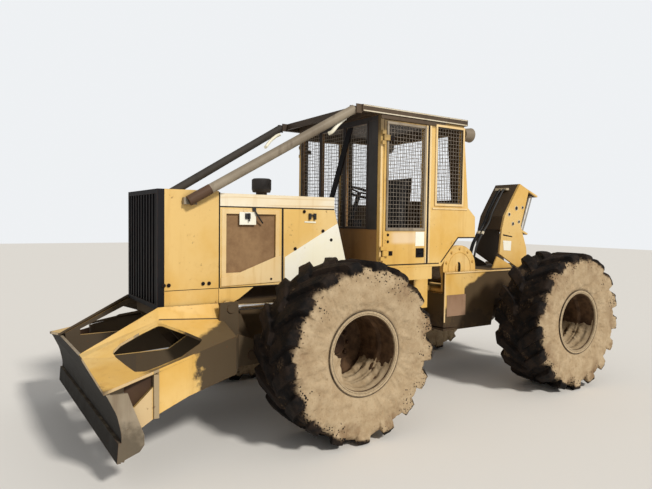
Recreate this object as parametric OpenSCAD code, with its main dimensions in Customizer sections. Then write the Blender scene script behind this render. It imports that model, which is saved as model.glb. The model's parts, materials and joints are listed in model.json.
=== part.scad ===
// Articulated cable skidder: cab and engine on the front frame, winch and arch on the rear frame.
// Millimetres, +X forward, +Y to the left, +Z up, the floor at Z = 0.

/* [Wheels] */
// Distance between the two axles
wheel_base = 3030; // [2980:10:3200]
// Tyre diameter over the worn lugs
tyre_d = 1550; // [1500:10:1600]
// Tyre width over the sidewalls
tyre_w = 590; // [560:10:640]
// Distance between the left and right tyre centres
wheel_track = 2290; // [2260:10:2400]
// Height of the tread lugs
lug_h = 42; // [25:1:60]
// Lugs on each half of a tyre
lug_count = 17; // [14:1:22]
// Diameter of the rim's seat for the tyre
rim_d = 660; // [620:10:680]

/* [Frames] */
// Width over the frame side plates
frame_w = 770; // [740:10:780]
// Thickness of the frame plates
plate_t = 25; // [16:1:30]
// Height of the frame's underside
frame_floor_z = 600; // [580:10:640]
// Diameter of the axle tubes
axle_d = 240; // [180:10:260]
// Diameter of the articulation pins
hitch_pin_d = 90; // [60:2:110]

/* [Engine cover] */
// Width of the engine cover
hood_w = 910; // [860:10:930]
// Height of the engine cover's top
hood_z = 2125; // [2050:5:2200]
// Distance from the articulation to the front of the nose panels
nose_x = 2900; // [2880:5:2950]
// Depth of the radiator guard in front of the nose
guard_t = 58; // [40:1:80]
// Thickness of the sheet panels
sheet_t = 8; // [4:1:12]

/* [Cab] */
// Width over the cab walls
cab_w = 1544; // [1500:4:1560]
// Thickness of the cab's walls and doors
wall_t = 40; // [30:1:50]
// Distance from the articulation to the cab's front face
cab_front_x = 870; // [850:5:890]
// Height of the cab floor's underside
cab_floor_z = 1410; // [1400:5:1430]
// Height of the roof's underside
roof_z = 2925; // [2880:5:2960]
// Thickness of the roof
roof_t = 65; // [40:5:90]
// Diameter of the limb risers
riser_d = 86; // [70:2:100]

/* [Blade] */
// Width of the blade
blade_w = 2408; // [2300:8:2480]
// Height of the blade's pivot
blade_pivot_z = 700; // [690:5:720]
// Diameter of the blade's pivot pins
blade_pin_d = 90; // [70:2:100]
// Thickness of the push frame's plates
arm_t = 25; // [20:1:30]

/* [Winch] */
// Diameter of the winch's side covers
winch_d = 546; // [500:2:560]
// Width over the winch's side covers
winch_w = 700; // [660:10:705]
// Diameter of the drum's flanges
drum_flange_d = 470; // [420:10:480]
// Width over the arch's side plates
arch_w = 410; // [380:10:440]

/* [Hidden] */
$fn = 48;

clearance = 0.3;
tow_pin_r = 20;
tow_pin_x = -2402;
pin_gap = 0.05;
swing_gap = 5;
blade_tip_x = 3570;
tail_x = -2440;
pivot_x = -(blade_tip_x + tail_x) / 2;
front_axle_x = wheel_base / 2;
rear_axle_x = -wheel_base / 2;
tyre_r = tyre_d / 2;
frame_y = frame_w / 2;
frame_top_z = 1138;
deck_z = 1250;
rear_top_z = 1290;
axle_notch_z = 930;
axle_notch_x = 190;
hood_y = hood_w / 2;
cab_y = cab_w / 2;
cab_front_in = cab_front_x - wall_t;
door_front_x = cab_front_x - 48;
door_rear_x = 241;
door_low_z = 1448;
door_top_z = roof_z - 49;
hub_y = 745;
rim_r = rim_d / 2;

// The model's origin is below the middle of its length, and the articulation lies at pivot_x.
module at_pivot() {
    translate([pivot_x, 0, 0]) children();
}

// A 2D profile in X and Z, extruded from y0 to y1.
module xz_plate(points, y0, y1) {
    translate([0, y1, 0]) rotate([90, 0, 0]) linear_extrude(y1 - y0) polygon(points);
}

// The children and their mirror image on the other side of the machine.
module both_sides() {
    children();
    mirror([0, 1, 0]) children();
}

// A round bar along Y from y0 to y1, centred at x and z.
module y_bar(x, z, r, y0, y1) {
    translate([x, y1, z]) rotate([90, 0, 0]) cylinder(r = r, h = y1 - y0);
}

// A box from its low corner to its high corner.
module box(low, high) {
    translate(low) cube(high - low);
}

// A round bar from point a to point b.
module bar(a, b, r) {
    d = b - a;
    translate(a) rotate([0, acos(d[2] / norm(d)), atan2(d[1], d[0])]) cylinder(r = r, h = norm(d));
}

// Front frame: side plates, deck, belly, the fork at the rear and the blade's pivot brackets
nose_low_z = 1010;
front_profile = [
    [nose_x, frame_top_z], [nose_x, nose_low_z], [2560, 620], [front_axle_x + axle_notch_x + 60, 620],
    [front_axle_x + axle_notch_x, axle_notch_z], [front_axle_x - axle_notch_x, axle_notch_z],
    [front_axle_x - axle_notch_x - 60, frame_floor_z], [300, frame_floor_z], [250, 900],
    [-165, 900], [-165, deck_z], [700, deck_z], [820, frame_top_z]
];
blade_pivot_x = 2200;
bracket_y = 470;
lift_y = 539;
lift_base = [1330, 1085];
hitch_top_z = 1120;
fork_low_z = frame_floor_z + 40;
neck_low_z = fork_low_z + swing_gap;
neck_top_z = hitch_top_z - swing_gap;

module front_frame() {
    color("goldenrod") at_pivot() {
        both_sides() xz_plate(front_profile, frame_y - plate_t, frame_y);
        box([260, -frame_y + 1, frame_top_z - plate_t], [nose_x, frame_y - 1, frame_top_z]);
        box([1800, -frame_y + 1, 620], [2560, frame_y - 1, 645]);
        box([nose_x - plate_t, -frame_y + 1, nose_low_z], [nose_x, frame_y - 1, frame_top_z]);
        box([300, -frame_y + 1, frame_floor_z], [1100, frame_y - 1, frame_floor_z + plate_t]);
        translate([0, 0, hitch_top_z]) linear_extrude(40) polygon([
            [300, -frame_y + 1], [300, frame_y - 1], [90, 190], [-40, 110], [-90, 0],
            [-40, -110], [90, -190]
        ]);
        translate([0, 0, frame_floor_z]) linear_extrude(40) polygon([
            [310, -frame_y + 1], [310, frame_y - 1], [90, 190], [-40, 110], [-90, 0],
            [-40, -110], [90, -190]
        ]);
        both_sides() {
            xz_plate([[2080, 620], [2330, 620], [2330, 800], [2260, 860], [2140, 860], [2080, 800]],
                frame_y - 1, bracket_y);
            y_bar(blade_pivot_x, blade_pivot_z, blade_pin_d / 2, bracket_y - 1, 705);
            xz_plate([[1250, 1020], [1410, 1020], [1410, frame_top_z], [1250, frame_top_z]],
                frame_y - 1, lift_y - 55);
            y_bar(lift_base[0], lift_base[1], 30, lift_y - 56, lift_y + 50);
        }
        translate([0, 0, frame_floor_z - 8]) cylinder(d = hitch_pin_d, h = hitch_top_z + 60 - frame_floor_z);
    }
}

// Front axle: tube, differential case, mounting pads and the spindles that carry the wheels
module axle(x) {
    y_bar(x, tyre_r, axle_d / 2, -hub_y + 40, hub_y - 40);
    translate([x, 0, tyre_r]) sphere(r = 235);
    for (s = [-1, 1]) {
        box([x - 180, s * 300 - 50, tyre_r + 60], [x + 180, s * 300 + 50, axle_notch_z - clearance]);
        y_bar(x, tyre_r, 190, s > 0 ? hub_y - 45 : -hub_y, s > 0 ? hub_y : -hub_y + 45);
        y_bar(x, tyre_r, 90, s > 0 ? hub_y - 1 : -hub_y - 245, s > 0 ? hub_y + 245 : -hub_y + 1);
    }
}

module front_axle() {
    color("dimgray") at_pivot() axle(front_axle_x);
}

module rear_axle() {
    color("dimgray") at_pivot() axle(rear_axle_x);
}

// Engine: one plain block behind the radiator
module engine_block() {
    color("darkolivegreen") at_pivot()
        box([1250, -300, frame_top_z + clearance], [2500, 300, 1950]);
}

// Radiator guard: an open frame with upright bars in front of a dark back plate
guard_low_z = 1113;
bar_count = 10;
module radiator_guard() {
    depth = guard_t;
    bar_pitch = (hood_w - 80) / bar_count;
    color("#15171a") at_pivot() translate([nose_x + clearance, 0, 0]) {
        difference() {
            box([0, -hood_y, guard_low_z], [depth, hood_y, hood_z]);
            box([12, -hood_y + 40, guard_low_z + 40], [depth + 1, hood_y - 40, hood_z - 40]);
        }
        for (i = [0 : bar_count - 1])
            translate([11, -hood_y + 40 + (i + 0.5) * bar_pitch - 14, guard_low_z + 39])
                cube([depth - 16, 28, hood_z - guard_low_z - 78]);
    }
}

// Nose panels: the plain sheets beside and over the radiator
nose_rear_x = 2417;
panel_low_z = 1272;
module nose_panels() {
    color("goldenrod") at_pivot() difference() {
        box([nose_rear_x, -hood_y, frame_top_z + clearance], [nose_x, hood_y, hood_z]);
        box([nose_rear_x - 1, -hood_y + sheet_t, frame_top_z - 1], [nose_x + 1, hood_y - sheet_t, hood_z - sheet_t]);
    }
}

// Engine cover's top with its side rails
hood_rear_x = 1190;
rail_top_z = hood_z - 17;
rail_low_z = rail_top_z - 116;
module hood_top() {
    color("wheat") at_pivot() difference() {
        box([hood_rear_x, -hood_y, rail_low_z], [nose_rear_x - clearance, hood_y, rail_top_z]);
        box([hood_rear_x - 1, -hood_y + 30, rail_low_z - 1], [nose_rear_x + 1, hood_y - 30, rail_top_z - sheet_t]);
    }
}

// Engine side doors: two on each side, the front one with a screened opening
door_split_x = 1775;
hood_slant = [[hood_rear_x, rail_low_z - clearance], [990, panel_low_z]];
module side_doors() {
    color("goldenrod") at_pivot() both_sides() {
        difference() {
            xz_plate([[nose_rear_x - 4, rail_low_z - clearance], [door_split_x + 2, rail_low_z - clearance],
                [door_split_x + 2, panel_low_z], [nose_rear_x - 4, panel_low_z]], hood_y - 26, hood_y);
            box([1850, hood_y - 30, 1400], [2350, hood_y + 1, 1930]);
        }
        xz_plate([[door_split_x - 2, rail_low_z - clearance], hood_slant[0], hood_slant[1],
            [door_split_x - 2, panel_low_z]], hood_y - 26, hood_y);
        xz_plate([[nose_rear_x - 4, panel_low_z - 4], [2070, panel_low_z - 4], [2217, 1165],
            [2275, frame_top_z + clearance], [nose_rear_x - 4, frame_top_z + clearance]], hood_y - 26, hood_y);
        box([1845, hood_y - 40, 1395], [2355, hood_y - 26 - clearance, 1935]);
    }
}

// Cab: the side profile in X and Z, from the front bottom corner round the roof to the stepped rear
cab_profile = [
    [cab_front_x, cab_floor_z], [cab_front_x, roof_z], [-285, roof_z], [-377, 2038], [-492, 1941],
    [-500, 1706], [-232, 1706], [17, cab_floor_z]
];
cab_rear_inside = [
    [-245, roof_z], [-338, 2052], [-452, 1957], [-459, 1746], [-214, 1746], [68, cab_floor_z]
];
wire = 8;
screen_pitch = 75;

// A screen of crossed wires that fills a window of width w and height h, in 2D.
module screen(w, h) {
    nx = round(w / screen_pitch);
    ny = round(h / screen_pitch);
    difference() {
        square([w, h]);
        for (i = [0 : nx - 1], j = [0 : ny - 1])
            translate([i * w / nx + wire / 2, j * h / ny + wire / 2])
                square([w / nx - wire, h / ny - wire]);
    }
}

// A screen just inside a window of the side wall, given by its low and high corners in X and Z.
module side_screen(low, high) {
    size = high - low - [2 * clearance, 2 * clearance];
    translate([low[0] + clearance, cab_y - 4, low[1] + clearance])
        rotate([90, 0, 0]) linear_extrude(wire) screen(size[0], size[1]);
}

// A window's four corners in X and Z from its low and high corners.
function window_at(low, high) = [low, [high[0], low[1]], high, [low[0], high[1]]];

side_window = [[-262, 2080], [105, roof_z - 55]];
door_window = [[door_rear_x + 49, 1810], [door_front_x - 52, roof_z - 85]];
hinge_x = cab_front_x - 42;
hinge_y = cab_y + 13;
hinge_pin_r = 8;
knuckle_r = 12;
hinge_z = [1560, roof_z - 225];

module hinge_lug(z0, z1, x0, x1) {
    box([x0, cab_y - 1, z0], [x1, hinge_y + knuckle_r, z1]);
}

module cab_side_wall() {
    difference() {
        xz_plate(cab_profile, cab_y - wall_t, cab_y);
        box([door_rear_x - 8, cab_y - wall_t - 1, door_low_z - 6], [door_front_x + 6, cab_y + 1, door_top_z + 6]);
        xz_plate(window_at(side_window[0], side_window[1]), cab_y - wall_t - 1, cab_y + 1);
    }
    for (z = hinge_z) {
        difference() {
            union() {
                hinge_lug(z - 70, z - 32, hinge_x - 9, cab_front_x - 5);
                hinge_lug(z + 32, z + 70, hinge_x - 9, cab_front_x - 5);
            }
            box([0, cab_y - 100, z - 80], [door_front_x + 6, cab_y + 4, z + 80]);
        }
        translate([hinge_x, hinge_y, z - 60]) cylinder(r = hinge_pin_r, h = 120);
    }
}

module cab_left_wall() {
    color("goldenrod") at_pivot() cab_side_wall();
}

module cab_right_wall() {
    color("goldenrod") at_pivot() mirror([0, 1, 0]) cab_side_wall();
}

module cab_door() {
    difference() {
        union() {
            box([door_rear_x, cab_y - wall_t, door_low_z], [door_front_x, cab_y, door_top_z]);
            for (z = hinge_z) hinge_lug(z - 27, z + 27, hinge_x - 60, hinge_x);
            for (z = hinge_z) translate([hinge_x, hinge_y, z - 27]) cylinder(r = knuckle_r, h = 54);
        }
        xz_plate(window_at(door_window[0], door_window[1]), cab_y - wall_t - 1, cab_y + 1);
        for (z = hinge_z) translate([hinge_x, hinge_y, z - 40])
            cylinder(r = hinge_pin_r + pin_gap, h = 80);
        for (z = hinge_z) box([door_front_x, cab_y - 100, z - 40], [hinge_x + 20, cab_y + 0.5, z + 40]);
    }
}

module cab_door_left() {
    color("goldenrod") at_pivot() cab_door();
}

module cab_door_right() {
    color("goldenrod") at_pivot() mirror([0, 1, 0]) cab_door();
}

module door_screen_left() {
    color("#15171a") at_pivot() side_screen(door_window[0], door_window[1]);
}

module door_screen_right() {
    color("#15171a") at_pivot() mirror([0, 1, 0]) side_screen(door_window[0], door_window[1]);
}

module cab_floor() {
    color("sienna") at_pivot() {
        box([70, -cab_y + wall_t + clearance, cab_floor_z],
            [cab_front_in - clearance, cab_y - wall_t - clearance, cab_floor_z + 30]);
        both_sides() xz_plate([[790, cab_floor_z - clearance], [590, 1280], [150, 1280],
            [150, cab_floor_z - clearance]], cab_y - 60, cab_y);
        both_sides() box([150, frame_y - 80, deck_z + clearance], [700, frame_y - 10, cab_floor_z]);
        both_sides() box([160, frame_y - 20, 1330], [580, cab_y - 50, cab_floor_z]);
    }
}

front_window_low_z = 1815;
front_window_top_z = roof_z - 65;
module front_window(y0, y1) {
    box([cab_front_in - 10, y0, front_window_low_z], [cab_front_x + 10, y1, front_window_top_z]);
}

module front_screen(y0, y1) {
    translate([cab_front_x - 12, y0 + clearance, front_window_low_z + clearance]) rotate([90, 0, 90])
        linear_extrude(wire) screen(y1 - y0 - 2 * clearance, front_window_top_z - front_window_low_z - 2 * clearance);
}

front_windows = [[-700, -320], [-280, 150], [190, 560]];
rear_window_y = 560;
module cab_front_wall() {
    y = cab_y - wall_t - clearance;
    color("saddlebrown") at_pivot() {
        difference() {
            box([cab_front_in, -y, cab_floor_z], [cab_front_x, y, roof_z - clearance]);
            for (w = front_windows) front_window(w[0], w[1]);
        }
    }
}

module cab_rear_wall() {
    y = cab_y - wall_t - clearance;
    outer = [for (i = [2 : 7]) cab_profile[i]];
    inner = [for (i = [5 : -1 : 0]) cab_rear_inside[i]];
    color("goldenrod") at_pivot() {
        difference() {
            xz_plate([for (p = concat(outer, inner)) [p[0], min(p[1], roof_z - clearance)]], -y, y);
            box([-500, -rear_window_y, roof_z - 805], [-200, rear_window_y, roof_z - 85]);
        }
    }
}

// Wire screens of the front, rear quarter and rear windows; the rear one leans with the wall
module cab_screens() {
    color("#15171a") at_pivot() {
        for (w = front_windows) front_screen(w[0], w[1]);
        both_sides() side_screen(side_window[0], side_window[1]);
        translate([-285 + 12, 0, roof_z]) rotate([0, 5.92, 0]) translate([0, clearance - rear_window_y, -807.5])
            rotate([90, 0, 90]) linear_extrude(wire) screen(2 * (rear_window_y - clearance), 720);
    }
}

// Roof slab with a shallow lip, brackets for the limb risers and the front overhang
roof_front_x = 1106;
roof_rear_x = -330;
riser_top = [1160, cab_y - 56, roof_z + 20];
riser_low = [2708, hood_y + riser_d / 2 + 2, 2028];
module cab_roof() {
    color("dimgray") at_pivot() {
        difference() {
            box([roof_rear_x, -cab_y - 14, roof_z], [roof_front_x, cab_y + 14, roof_z + roof_t]);
            box([cab_front_x + 40, -cab_y + 40, roof_z - 1], [roof_front_x - 25, cab_y - 40, roof_z + roof_t - 12]);
        }
        both_sides() for (y = [riser_top[1] - riser_d / 2 - 14, riser_top[1] + riser_d / 2 + 2])
            box([roof_front_x - 1, y, roof_z - 20], [riser_top[0] + 8, y + 12, roof_z + roof_t]);
    }
}

// Limb risers: tubes from the nose up to the roof's front corners
module limb_risers() {
    color("rosybrown") at_pivot() both_sides() {
        bar(riser_low, riser_top, riser_d / 2);
        box([riser_low[0] - 75, hood_y + clearance, riser_low[2] - 28],
            [riser_low[0] + 40, riser_low[1], riser_low[2] + 30]);
    }
}

// Low exhaust drum on a short neck above the engine cover
stack_x = 1770;
module exhaust_drum() {
    color("dimgray") at_pivot() {
        translate([stack_x, 0, rail_top_z + clearance]) cylinder(r = 55, h = 46);
        translate([stack_x, 0, rail_top_z + 45]) cylinder(r1 = 88, r2 = 98, h = 30);
        translate([stack_x, 0, rail_top_z + 75]) cylinder(r = 98, h = 95);
        translate([stack_x, 0, rail_top_z + 170]) cylinder(r1 = 98, r2 = 80, h = 12);
    }
}

// Work lamps at the rear corners of the roof
module work_lamps() {
    color("gray") at_pivot() both_sides() {
        translate([-470, cab_y - 82, roof_z - 75]) rotate([0, 90, 0]) cylinder(r1 = 80, r2 = 62, h = 120);
        box([-350, cab_y - 102, roof_z - 20], [roof_rear_x - clearance, cab_y - 62, roof_z + 30]);
    }
}

// Seat and steering console inside the cab
module seat() {
    color("black") at_pivot() {
        box([180, -60, cab_floor_z + 30 + clearance], [440, 240, 1620]);
        box([120, -170, 1619], [600, 330, 1760]);
        xz_plate([[60, 1759], [200, 1759], [130, 2380], [10, 2380]], -150, 310);
    }
}

module steering_console() {
    color("black") at_pivot() {
        box([680, 20, cab_floor_z + 30 + clearance], [800, 240, 1900]);
        bar([740, 130, 1890], [640, 130, 2190], 25);
        translate([640, 130, 2190]) rotate([0, -18.4, 0]) rotate_extrude($fn = 32)
            translate([172, 0]) circle(r = 14, $fn = 16);
        translate([640, 130, 2190]) rotate([0, -18.4, 0])
            for (a = [0, 120, 240]) rotate([0, 0, a]) translate([0, -12, -6]) cube([167, 24, 12]);
    }
}

// Steps below the doors
module cab_steps() {
    color("goldenrod") at_pivot() both_sides() {
        for (x = [210, 500]) box([x, frame_y + clearance, 700], [x + 20, frame_y + 200, 1279]);
        for (z = [700, 960]) box([229, frame_y + 120, z], [501, frame_y + 200, z + 30]);
    }
}

// Push frame: deck plates with openings, outer arms, inner plates and pivot lugs
arm_in_y = 478;
deck_top = [
    [[blade_tip_x, arm_in_y, 822], [3566, 560, 812], [3548, blade_w / 2, 712]],
    [[2961, arm_in_y, 1142], [2975, 560, 1053], [2905, 1060, 850]],
    [[2430, arm_in_y, 1142], [2430, 560, 1017], [2430, 862, 917]]
];
deck_t = 22;
hole_plan = [
    [3364, 650], [3294, 608], [3123, 590], [2995, 592], [2820, 755], [2723, 866], [2772, 922], [2913, 1020],
    [3130, 1072], [3240, 1086], [3300, 1045], [3328, 890]
];

module deck_plate() {
    top = [for (row = deck_top, p = row) p];
    low = [for (p = top) p - [0, 0, deck_t]];
    quads = [for (i = [0, 1], j = [0, 1]) [i * 3 + j, i * 3 + j + 1, i * 3 + j + 4, i * 3 + j + 3]];
    tris = [for (q = quads) each [[q[0], q[1], q[2]], [q[0], q[2], q[3]]]];
    rim = [0, 1, 2, 5, 8, 7, 6, 3];
    side = [for (k = [0 : 7]) each [
        [rim[k], rim[(k + 1) % 8] + 9, rim[(k + 1) % 8]],
        [rim[k], rim[k] + 9, rim[(k + 1) % 8] + 9]
    ]];
    difference() {
        polyhedron(concat(top, low), concat(
            [for (t = tris) [t[2], t[1], t[0]]], [for (t = tris) [t[0] + 9, t[1] + 9, t[2] + 9]],
            [for (t = side) [t[2], t[1], t[0]]]));
        translate([0, 0, 500]) linear_extrude(900) offset(r = 30) offset(delta = -30) polygon(hole_plan);
    }
}

// A stretch of the outer arm: two upright edges joined by one plate.
module arm_plate(a, b) {
    corners = [for (p = [a, b]) each [
        [p[0], p[1] - arm_t, p[2]], [p[0], p[1], p[2]], [p[0], p[1], p[3]], [p[0], p[1] - arm_t, p[3]]
    ]];
    polyhedron(corners, [
        [3, 2, 1, 0], [0, 1, 5, 4], [1, 2, 6, 5], [2, 3, 7, 6], [3, 0, 4, 7], [4, 5, 6, 7]
    ]);
}

arm_line = [
    [3470, 1170, 385, 548], [3330, 1143, 372, 556], [3188, 1115, 442, 676], [3160, 1109, 462, 770],
    [2905, 1058, 546, 830], [2430, 862, 600, 897], [2330, 695, 610, 893]
];
arm_post = [[3150, 1074, 444], [3188, 1127, 764]];
inner_plate = [
    [3518, 818], [2961, 1098], [2430, 1098], [2420, 1135], [2375, 1162], [2300, 1150], [2250, 1100], [2110, 760],
    [2110, 610], [2300, 590], [3000, 560], [3330, 450], [3500, 420], [3508, 715]
];
inner_window = [[3388, 790], [3388, 846], [2955, 1050], [2700, 1050], [2700, 900], [2880, 790]];
lever_pin = [2360, 1105];

// The moldboard's curve: its centre and radius, and the point at an angle below or above the centre
mold_x = 4101;
mold_z = 330;
mold_r = 672;
mold_t = 26;
edge_low_z = 205;
end_plate = [
    [3530, 688], [3450, 684], [3389, 681], [3355, 583], [3277, 372], [3277, 302], [3308, 259], [3436, 214],
    [3431, 403], [3461, 541]
];
function mold_point(r, a) = [mold_x - r * cos(a), mold_z + r * sin(a)];

module push_frame() {
    color("goldenrod") at_pivot() both_sides() difference() {
        union() {
            deck_plate();
            difference() {
                union() {
                    for (k = [0 : len(arm_line) - 2]) arm_plate(arm_line[k], arm_line[k + 1]);
                    box(arm_post[0], arm_post[1]);
                    difference() {
                        xz_plate(inner_plate, arm_in_y, arm_in_y + arm_t);
                        xz_plate(inner_window, arm_in_y - 1, arm_in_y + arm_t + 1);
                    }
                }
                y_bar(mold_x, mold_z, mold_r + mold_t + clearance, arm_in_y - 10, blade_w / 2 + 10);
            }
            xz_plate([[2250, 640], [2340, 620], [2470, 700], [2470, 1000], [2460, 1160], [2290, 1160], [2290, 900],
                [2120, 800], [2110, 650]], 575, 600);
            xz_plate([[2330, 610], [2110, 620], [2110, 800], [2330, 893]], 670, 695);
            for (y = [[470, 479], [599, 612]]) y_bar(lever_pin[0], lever_pin[1], 38, y[0], y[1]);
        }
        y_bar(blade_pivot_x, blade_pivot_z, blade_pin_d / 2 + pin_gap, 470, 720);
    }
}

// Blade: curved moldboard that ends below the deck plates, worn end plates and a cutting edge
module blade() {
    top = [for (p = deck_top[0]) [p[1], p[2] - deck_t - clearance]];
    color("darkkhaki") at_pivot() {
        intersection() {
            xz_plate(concat(
                [for (a = [-10 : 4 : 34]) mold_point(mold_r, a)], [[blade_tip_x - 4, 822]],
                [[blade_tip_x - 4 - mold_t, 828]], [for (a = [34 : -4 : -10]) mold_point(mold_r + mold_t, a)]
            ), -blade_w / 2, blade_w / 2);
            translate([end_plate[4][0], 0, 0]) rotate([90, 0, 90]) linear_extrude(400) polygon([
                [blade_w / 2, edge_low_z], top[2], top[1], top[0], [-top[0][0], top[0][1]], [-top[1][0], top[1][1]],
                [-top[2][0], top[2][1]], [-blade_w / 2, edge_low_z]
            ]);
        }
        both_sides() xz_plate(end_plate, blade_w / 2 - 22, blade_w / 2);
        xz_plate([[3436, edge_low_z], [3462, edge_low_z], [3452, 345], [3429, 345]], -blade_w / 2, blade_w / 2);
    }
}

// Cylinders: a barrel with its eye, and a rod with its eye
module lift_barrel() {
    difference() {
        union() {
            y_bar(lift_base[0], lift_base[1], 55, lift_y - 40, lift_y + 40);
            bar([lift_base[0] + 40, lift_y, lift_base[1] + 1], [1900, lift_y, 1096], 55);
        }
        y_bar(lift_base[0], lift_base[1], 30 + pin_gap, lift_y - 60, lift_y + 60);
        bar([1450, lift_y, 1087.3], [1950, lift_y, 1097], 28.06);
    }
}

module lift_rod() {
    bar([1690, lift_y, 1092], [2320, lift_y, 1104.2], 28);
    y_bar(lever_pin[0], lever_pin[1], 55, lift_y - 27, lift_y + 27);
}

module lift_barrel_left() { color("goldenrod") at_pivot() lift_barrel(); }
module lift_barrel_right() { color("goldenrod") at_pivot() mirror([0, 1, 0]) lift_barrel(); }
module lift_rod_left() { color("silver") at_pivot() lift_rod(); }
module lift_rod_right() { color("silver") at_pivot() mirror([0, 1, 0]) lift_rod(); }

steer_z = 760;
steer_base = [820, 170];
steer_eye = [0, 200];
module steer_barrel() {
    difference() {
        union() {
            translate([steer_base[0], steer_base[1], steer_z - 40]) cylinder(r = 50, h = 80);
            bar([steer_base[0] - 40, 171.5, steer_z], [330, 188, steer_z], 50);
        }
        bar([700, 174.4, steer_z], [300, 189, steer_z], 25.06);
    }
}

module steer_rod() {
    bar([550, 179.9, steer_z], [40, 198.5, steer_z], 25);
    translate([steer_eye[0], steer_eye[1], steer_z - 30]) cylinder(r = 45, h = 60);
}

module steer_barrels() { color("goldenrod") at_pivot() both_sides() steer_barrel(); }
module steer_rod_left() { color("silver") at_pivot() steer_rod(); }
module steer_rod_right() { color("silver") at_pivot() mirror([0, 1, 0]) steer_rod(); }

// Rear frame: side plates, neck with hinge bores, deck behind the winch and the rear bulkhead
rear_profile = [
    [-430, rear_top_z], [-430, frame_floor_z + 40], [rear_axle_x + axle_notch_x + 60, frame_floor_z],
    [rear_axle_x + axle_notch_x, axle_notch_z], [rear_axle_x - axle_notch_x, axle_notch_z],
    [rear_axle_x - axle_notch_x - 60, 640], [-2120, 700], [-2200, 900], [-2200, rear_top_z]
];
module rear_frame() {
    color("goldenrod") at_pivot() difference() {
        union() {
            both_sides() xz_plate(rear_profile, frame_y - plate_t, frame_y);
            box([-2200, -frame_y + 1, rear_top_z - plate_t], [-1030, frame_y - 1, rear_top_z]);
            box([-2200, -frame_y + 1, 900], [-2175, frame_y - 1, rear_top_z]);
            box([-455, -frame_y + 1, 640], [-430, frame_y - 1, 1040]);
            box([-1250, -frame_y + 1, 600], [-430, frame_y - 1, 625]);
            box([-440, -80, neck_low_z], [0, 80, neck_top_z]);
            translate([0, 0, neck_low_z]) cylinder(r = 80, h = neck_top_z - neck_low_z);
            for (z = [neck_top_z - 60, neck_low_z])
                translate([0, 0, z]) linear_extrude(60) polygon([
                    [-440, -130], [-440, 130], [-90, 80], [-90, -80]]);
            both_sides() for (z = [steer_z - 70, steer_z + 35])
                translate([0, 0, z]) linear_extrude(35) polygon([
                    [-120, 40], [-60, 250], [60, 250], [70, 40]]);
        }
        translate([0, 0, frame_floor_z - 50]) cylinder(d = hitch_pin_d + 2 * pin_gap, h = 700);
    }
}

// Butt plate: bent plate across the rear of the frame, held by two ribs
module butt_plate() {
    color("goldenrod") at_pivot() {
        difference() {
            union() {
                xz_plate([[-2240, rear_top_z + 20], [-2330, 1180], [-2362, 900], [-2330, 640], [-2308, 640],
                    [-2338, 900], [-2308, 1170], [-2225, rear_top_z]], -560, 560);
                both_sides() xz_plate([[-2200 - clearance, rear_top_z - 30], [-2240, rear_top_z - 10],
                    [-2320, 1170], [-2348, 900], [-2325, 720], [-2200 - clearance, 760]], 300, 330);
                for (z = [820, 930]) box([tail_x, -90, z], [-2340, 90, z + 30]);
            }
            translate([tow_pin_x, 0, 800]) cylinder(r = tow_pin_r, h = 200);
        }
    }
}

// Winch: housing with round side covers, and the drum between them
winch_x = -716;
winch_z = 1330;
drum_shaft_r = 40;
module winch_housing() {
    color("goldenrod") at_pivot() difference() {
        union() {
            both_sides() y_bar(winch_x, winch_z, winch_d / 2, winch_w / 2 - 55, winch_w / 2);
            box([winch_x - 250, -winch_w / 2 + 1, 1045], [winch_x + 250, winch_w / 2 - 1, 1080]);
            both_sides() box([winch_x - 250, winch_w / 2 - 54, 1060], [winch_x + 250, winch_w / 2 - 1, 1250]);
        }
        y_bar(winch_x, winch_z, drum_shaft_r + pin_gap, -winch_w, winch_w);
    }
}

module winch_drum() {
    reach = winch_w / 2 - 60;
    color("saddlebrown") at_pivot() {
        y_bar(winch_x, winch_z, drum_shaft_r, -winch_w / 2, winch_w / 2);
        y_bar(winch_x, winch_z, 130, -reach, reach);
        for (y = [-reach, reach - 20]) y_bar(winch_x, winch_z, drum_flange_d / 2, y, y + 20);
        y_bar(winch_x, winch_z, 190, -reach + 20, reach - 20);
    }
}

// Arch: bent side plates, a front web and the fairlead rollers between the plates
arch_profile = [
    [-1991, 2404], [-2180, 2327], [-2120, 2125], [-2029, 1841], [-2155, 1545], [-2189, rear_top_z + clearance],
    [-1970, rear_top_z + clearance], [-1607, 1475], [-1646, 1792], [-1695, 1967], [-1839, 2185]
];
roller_low = [-2128, 118, 1770];
roller_top = [-2307, 118, 2250];
roller_pin_r = 22;

// The point t millimetres beyond the roller's lower end, along its axis.
function roller_at(t) = roller_low + t * (roller_top - roller_low) / norm(roller_top - roller_low);
roller_h = norm(roller_top - roller_low);

module arch() {
    color("goldenrod") at_pivot() difference() {
        union() {
            both_sides() xz_plate(arch_profile, arch_w / 2 - 25, arch_w / 2);
            xz_plate([[-1646, 1792], [-1695, 1967], [-1839, 2185], [-1991, 2404], [-2011, 2390],
                [-1860, 2172], [-1718, 1957], [-1671, 1790]], -arch_w / 2 + 24, arch_w / 2 - 24);
            both_sides() xz_plate([[-1462, rear_top_z + clearance], [-1850, rear_top_z + clearance],
                [-1800, 1334], [-1544, 1443]], arch_w / 2 - 1, arch_w / 2 + 16);
            xz_plate([[-2181, 1742], [-1985, 1815], [-1977, 1794], [-2174, 1721]], -arch_w / 2 + 1, arch_w / 2 - 1);
            xz_plate([[-2366, 2236], [-2122, 2327], [-2130, 2348], [-2373, 2257]], -arch_w / 2 + 1, arch_w / 2 - 1);
        }
        both_sides() bar(roller_at(-50), roller_at(roller_h + 50), roller_pin_r + pin_gap);
    }
}

module roller() {
    bar(roller_low, roller_top, 40);
    bar(roller_at(-30), roller_at(roller_h + 30), roller_pin_r);
}

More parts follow.
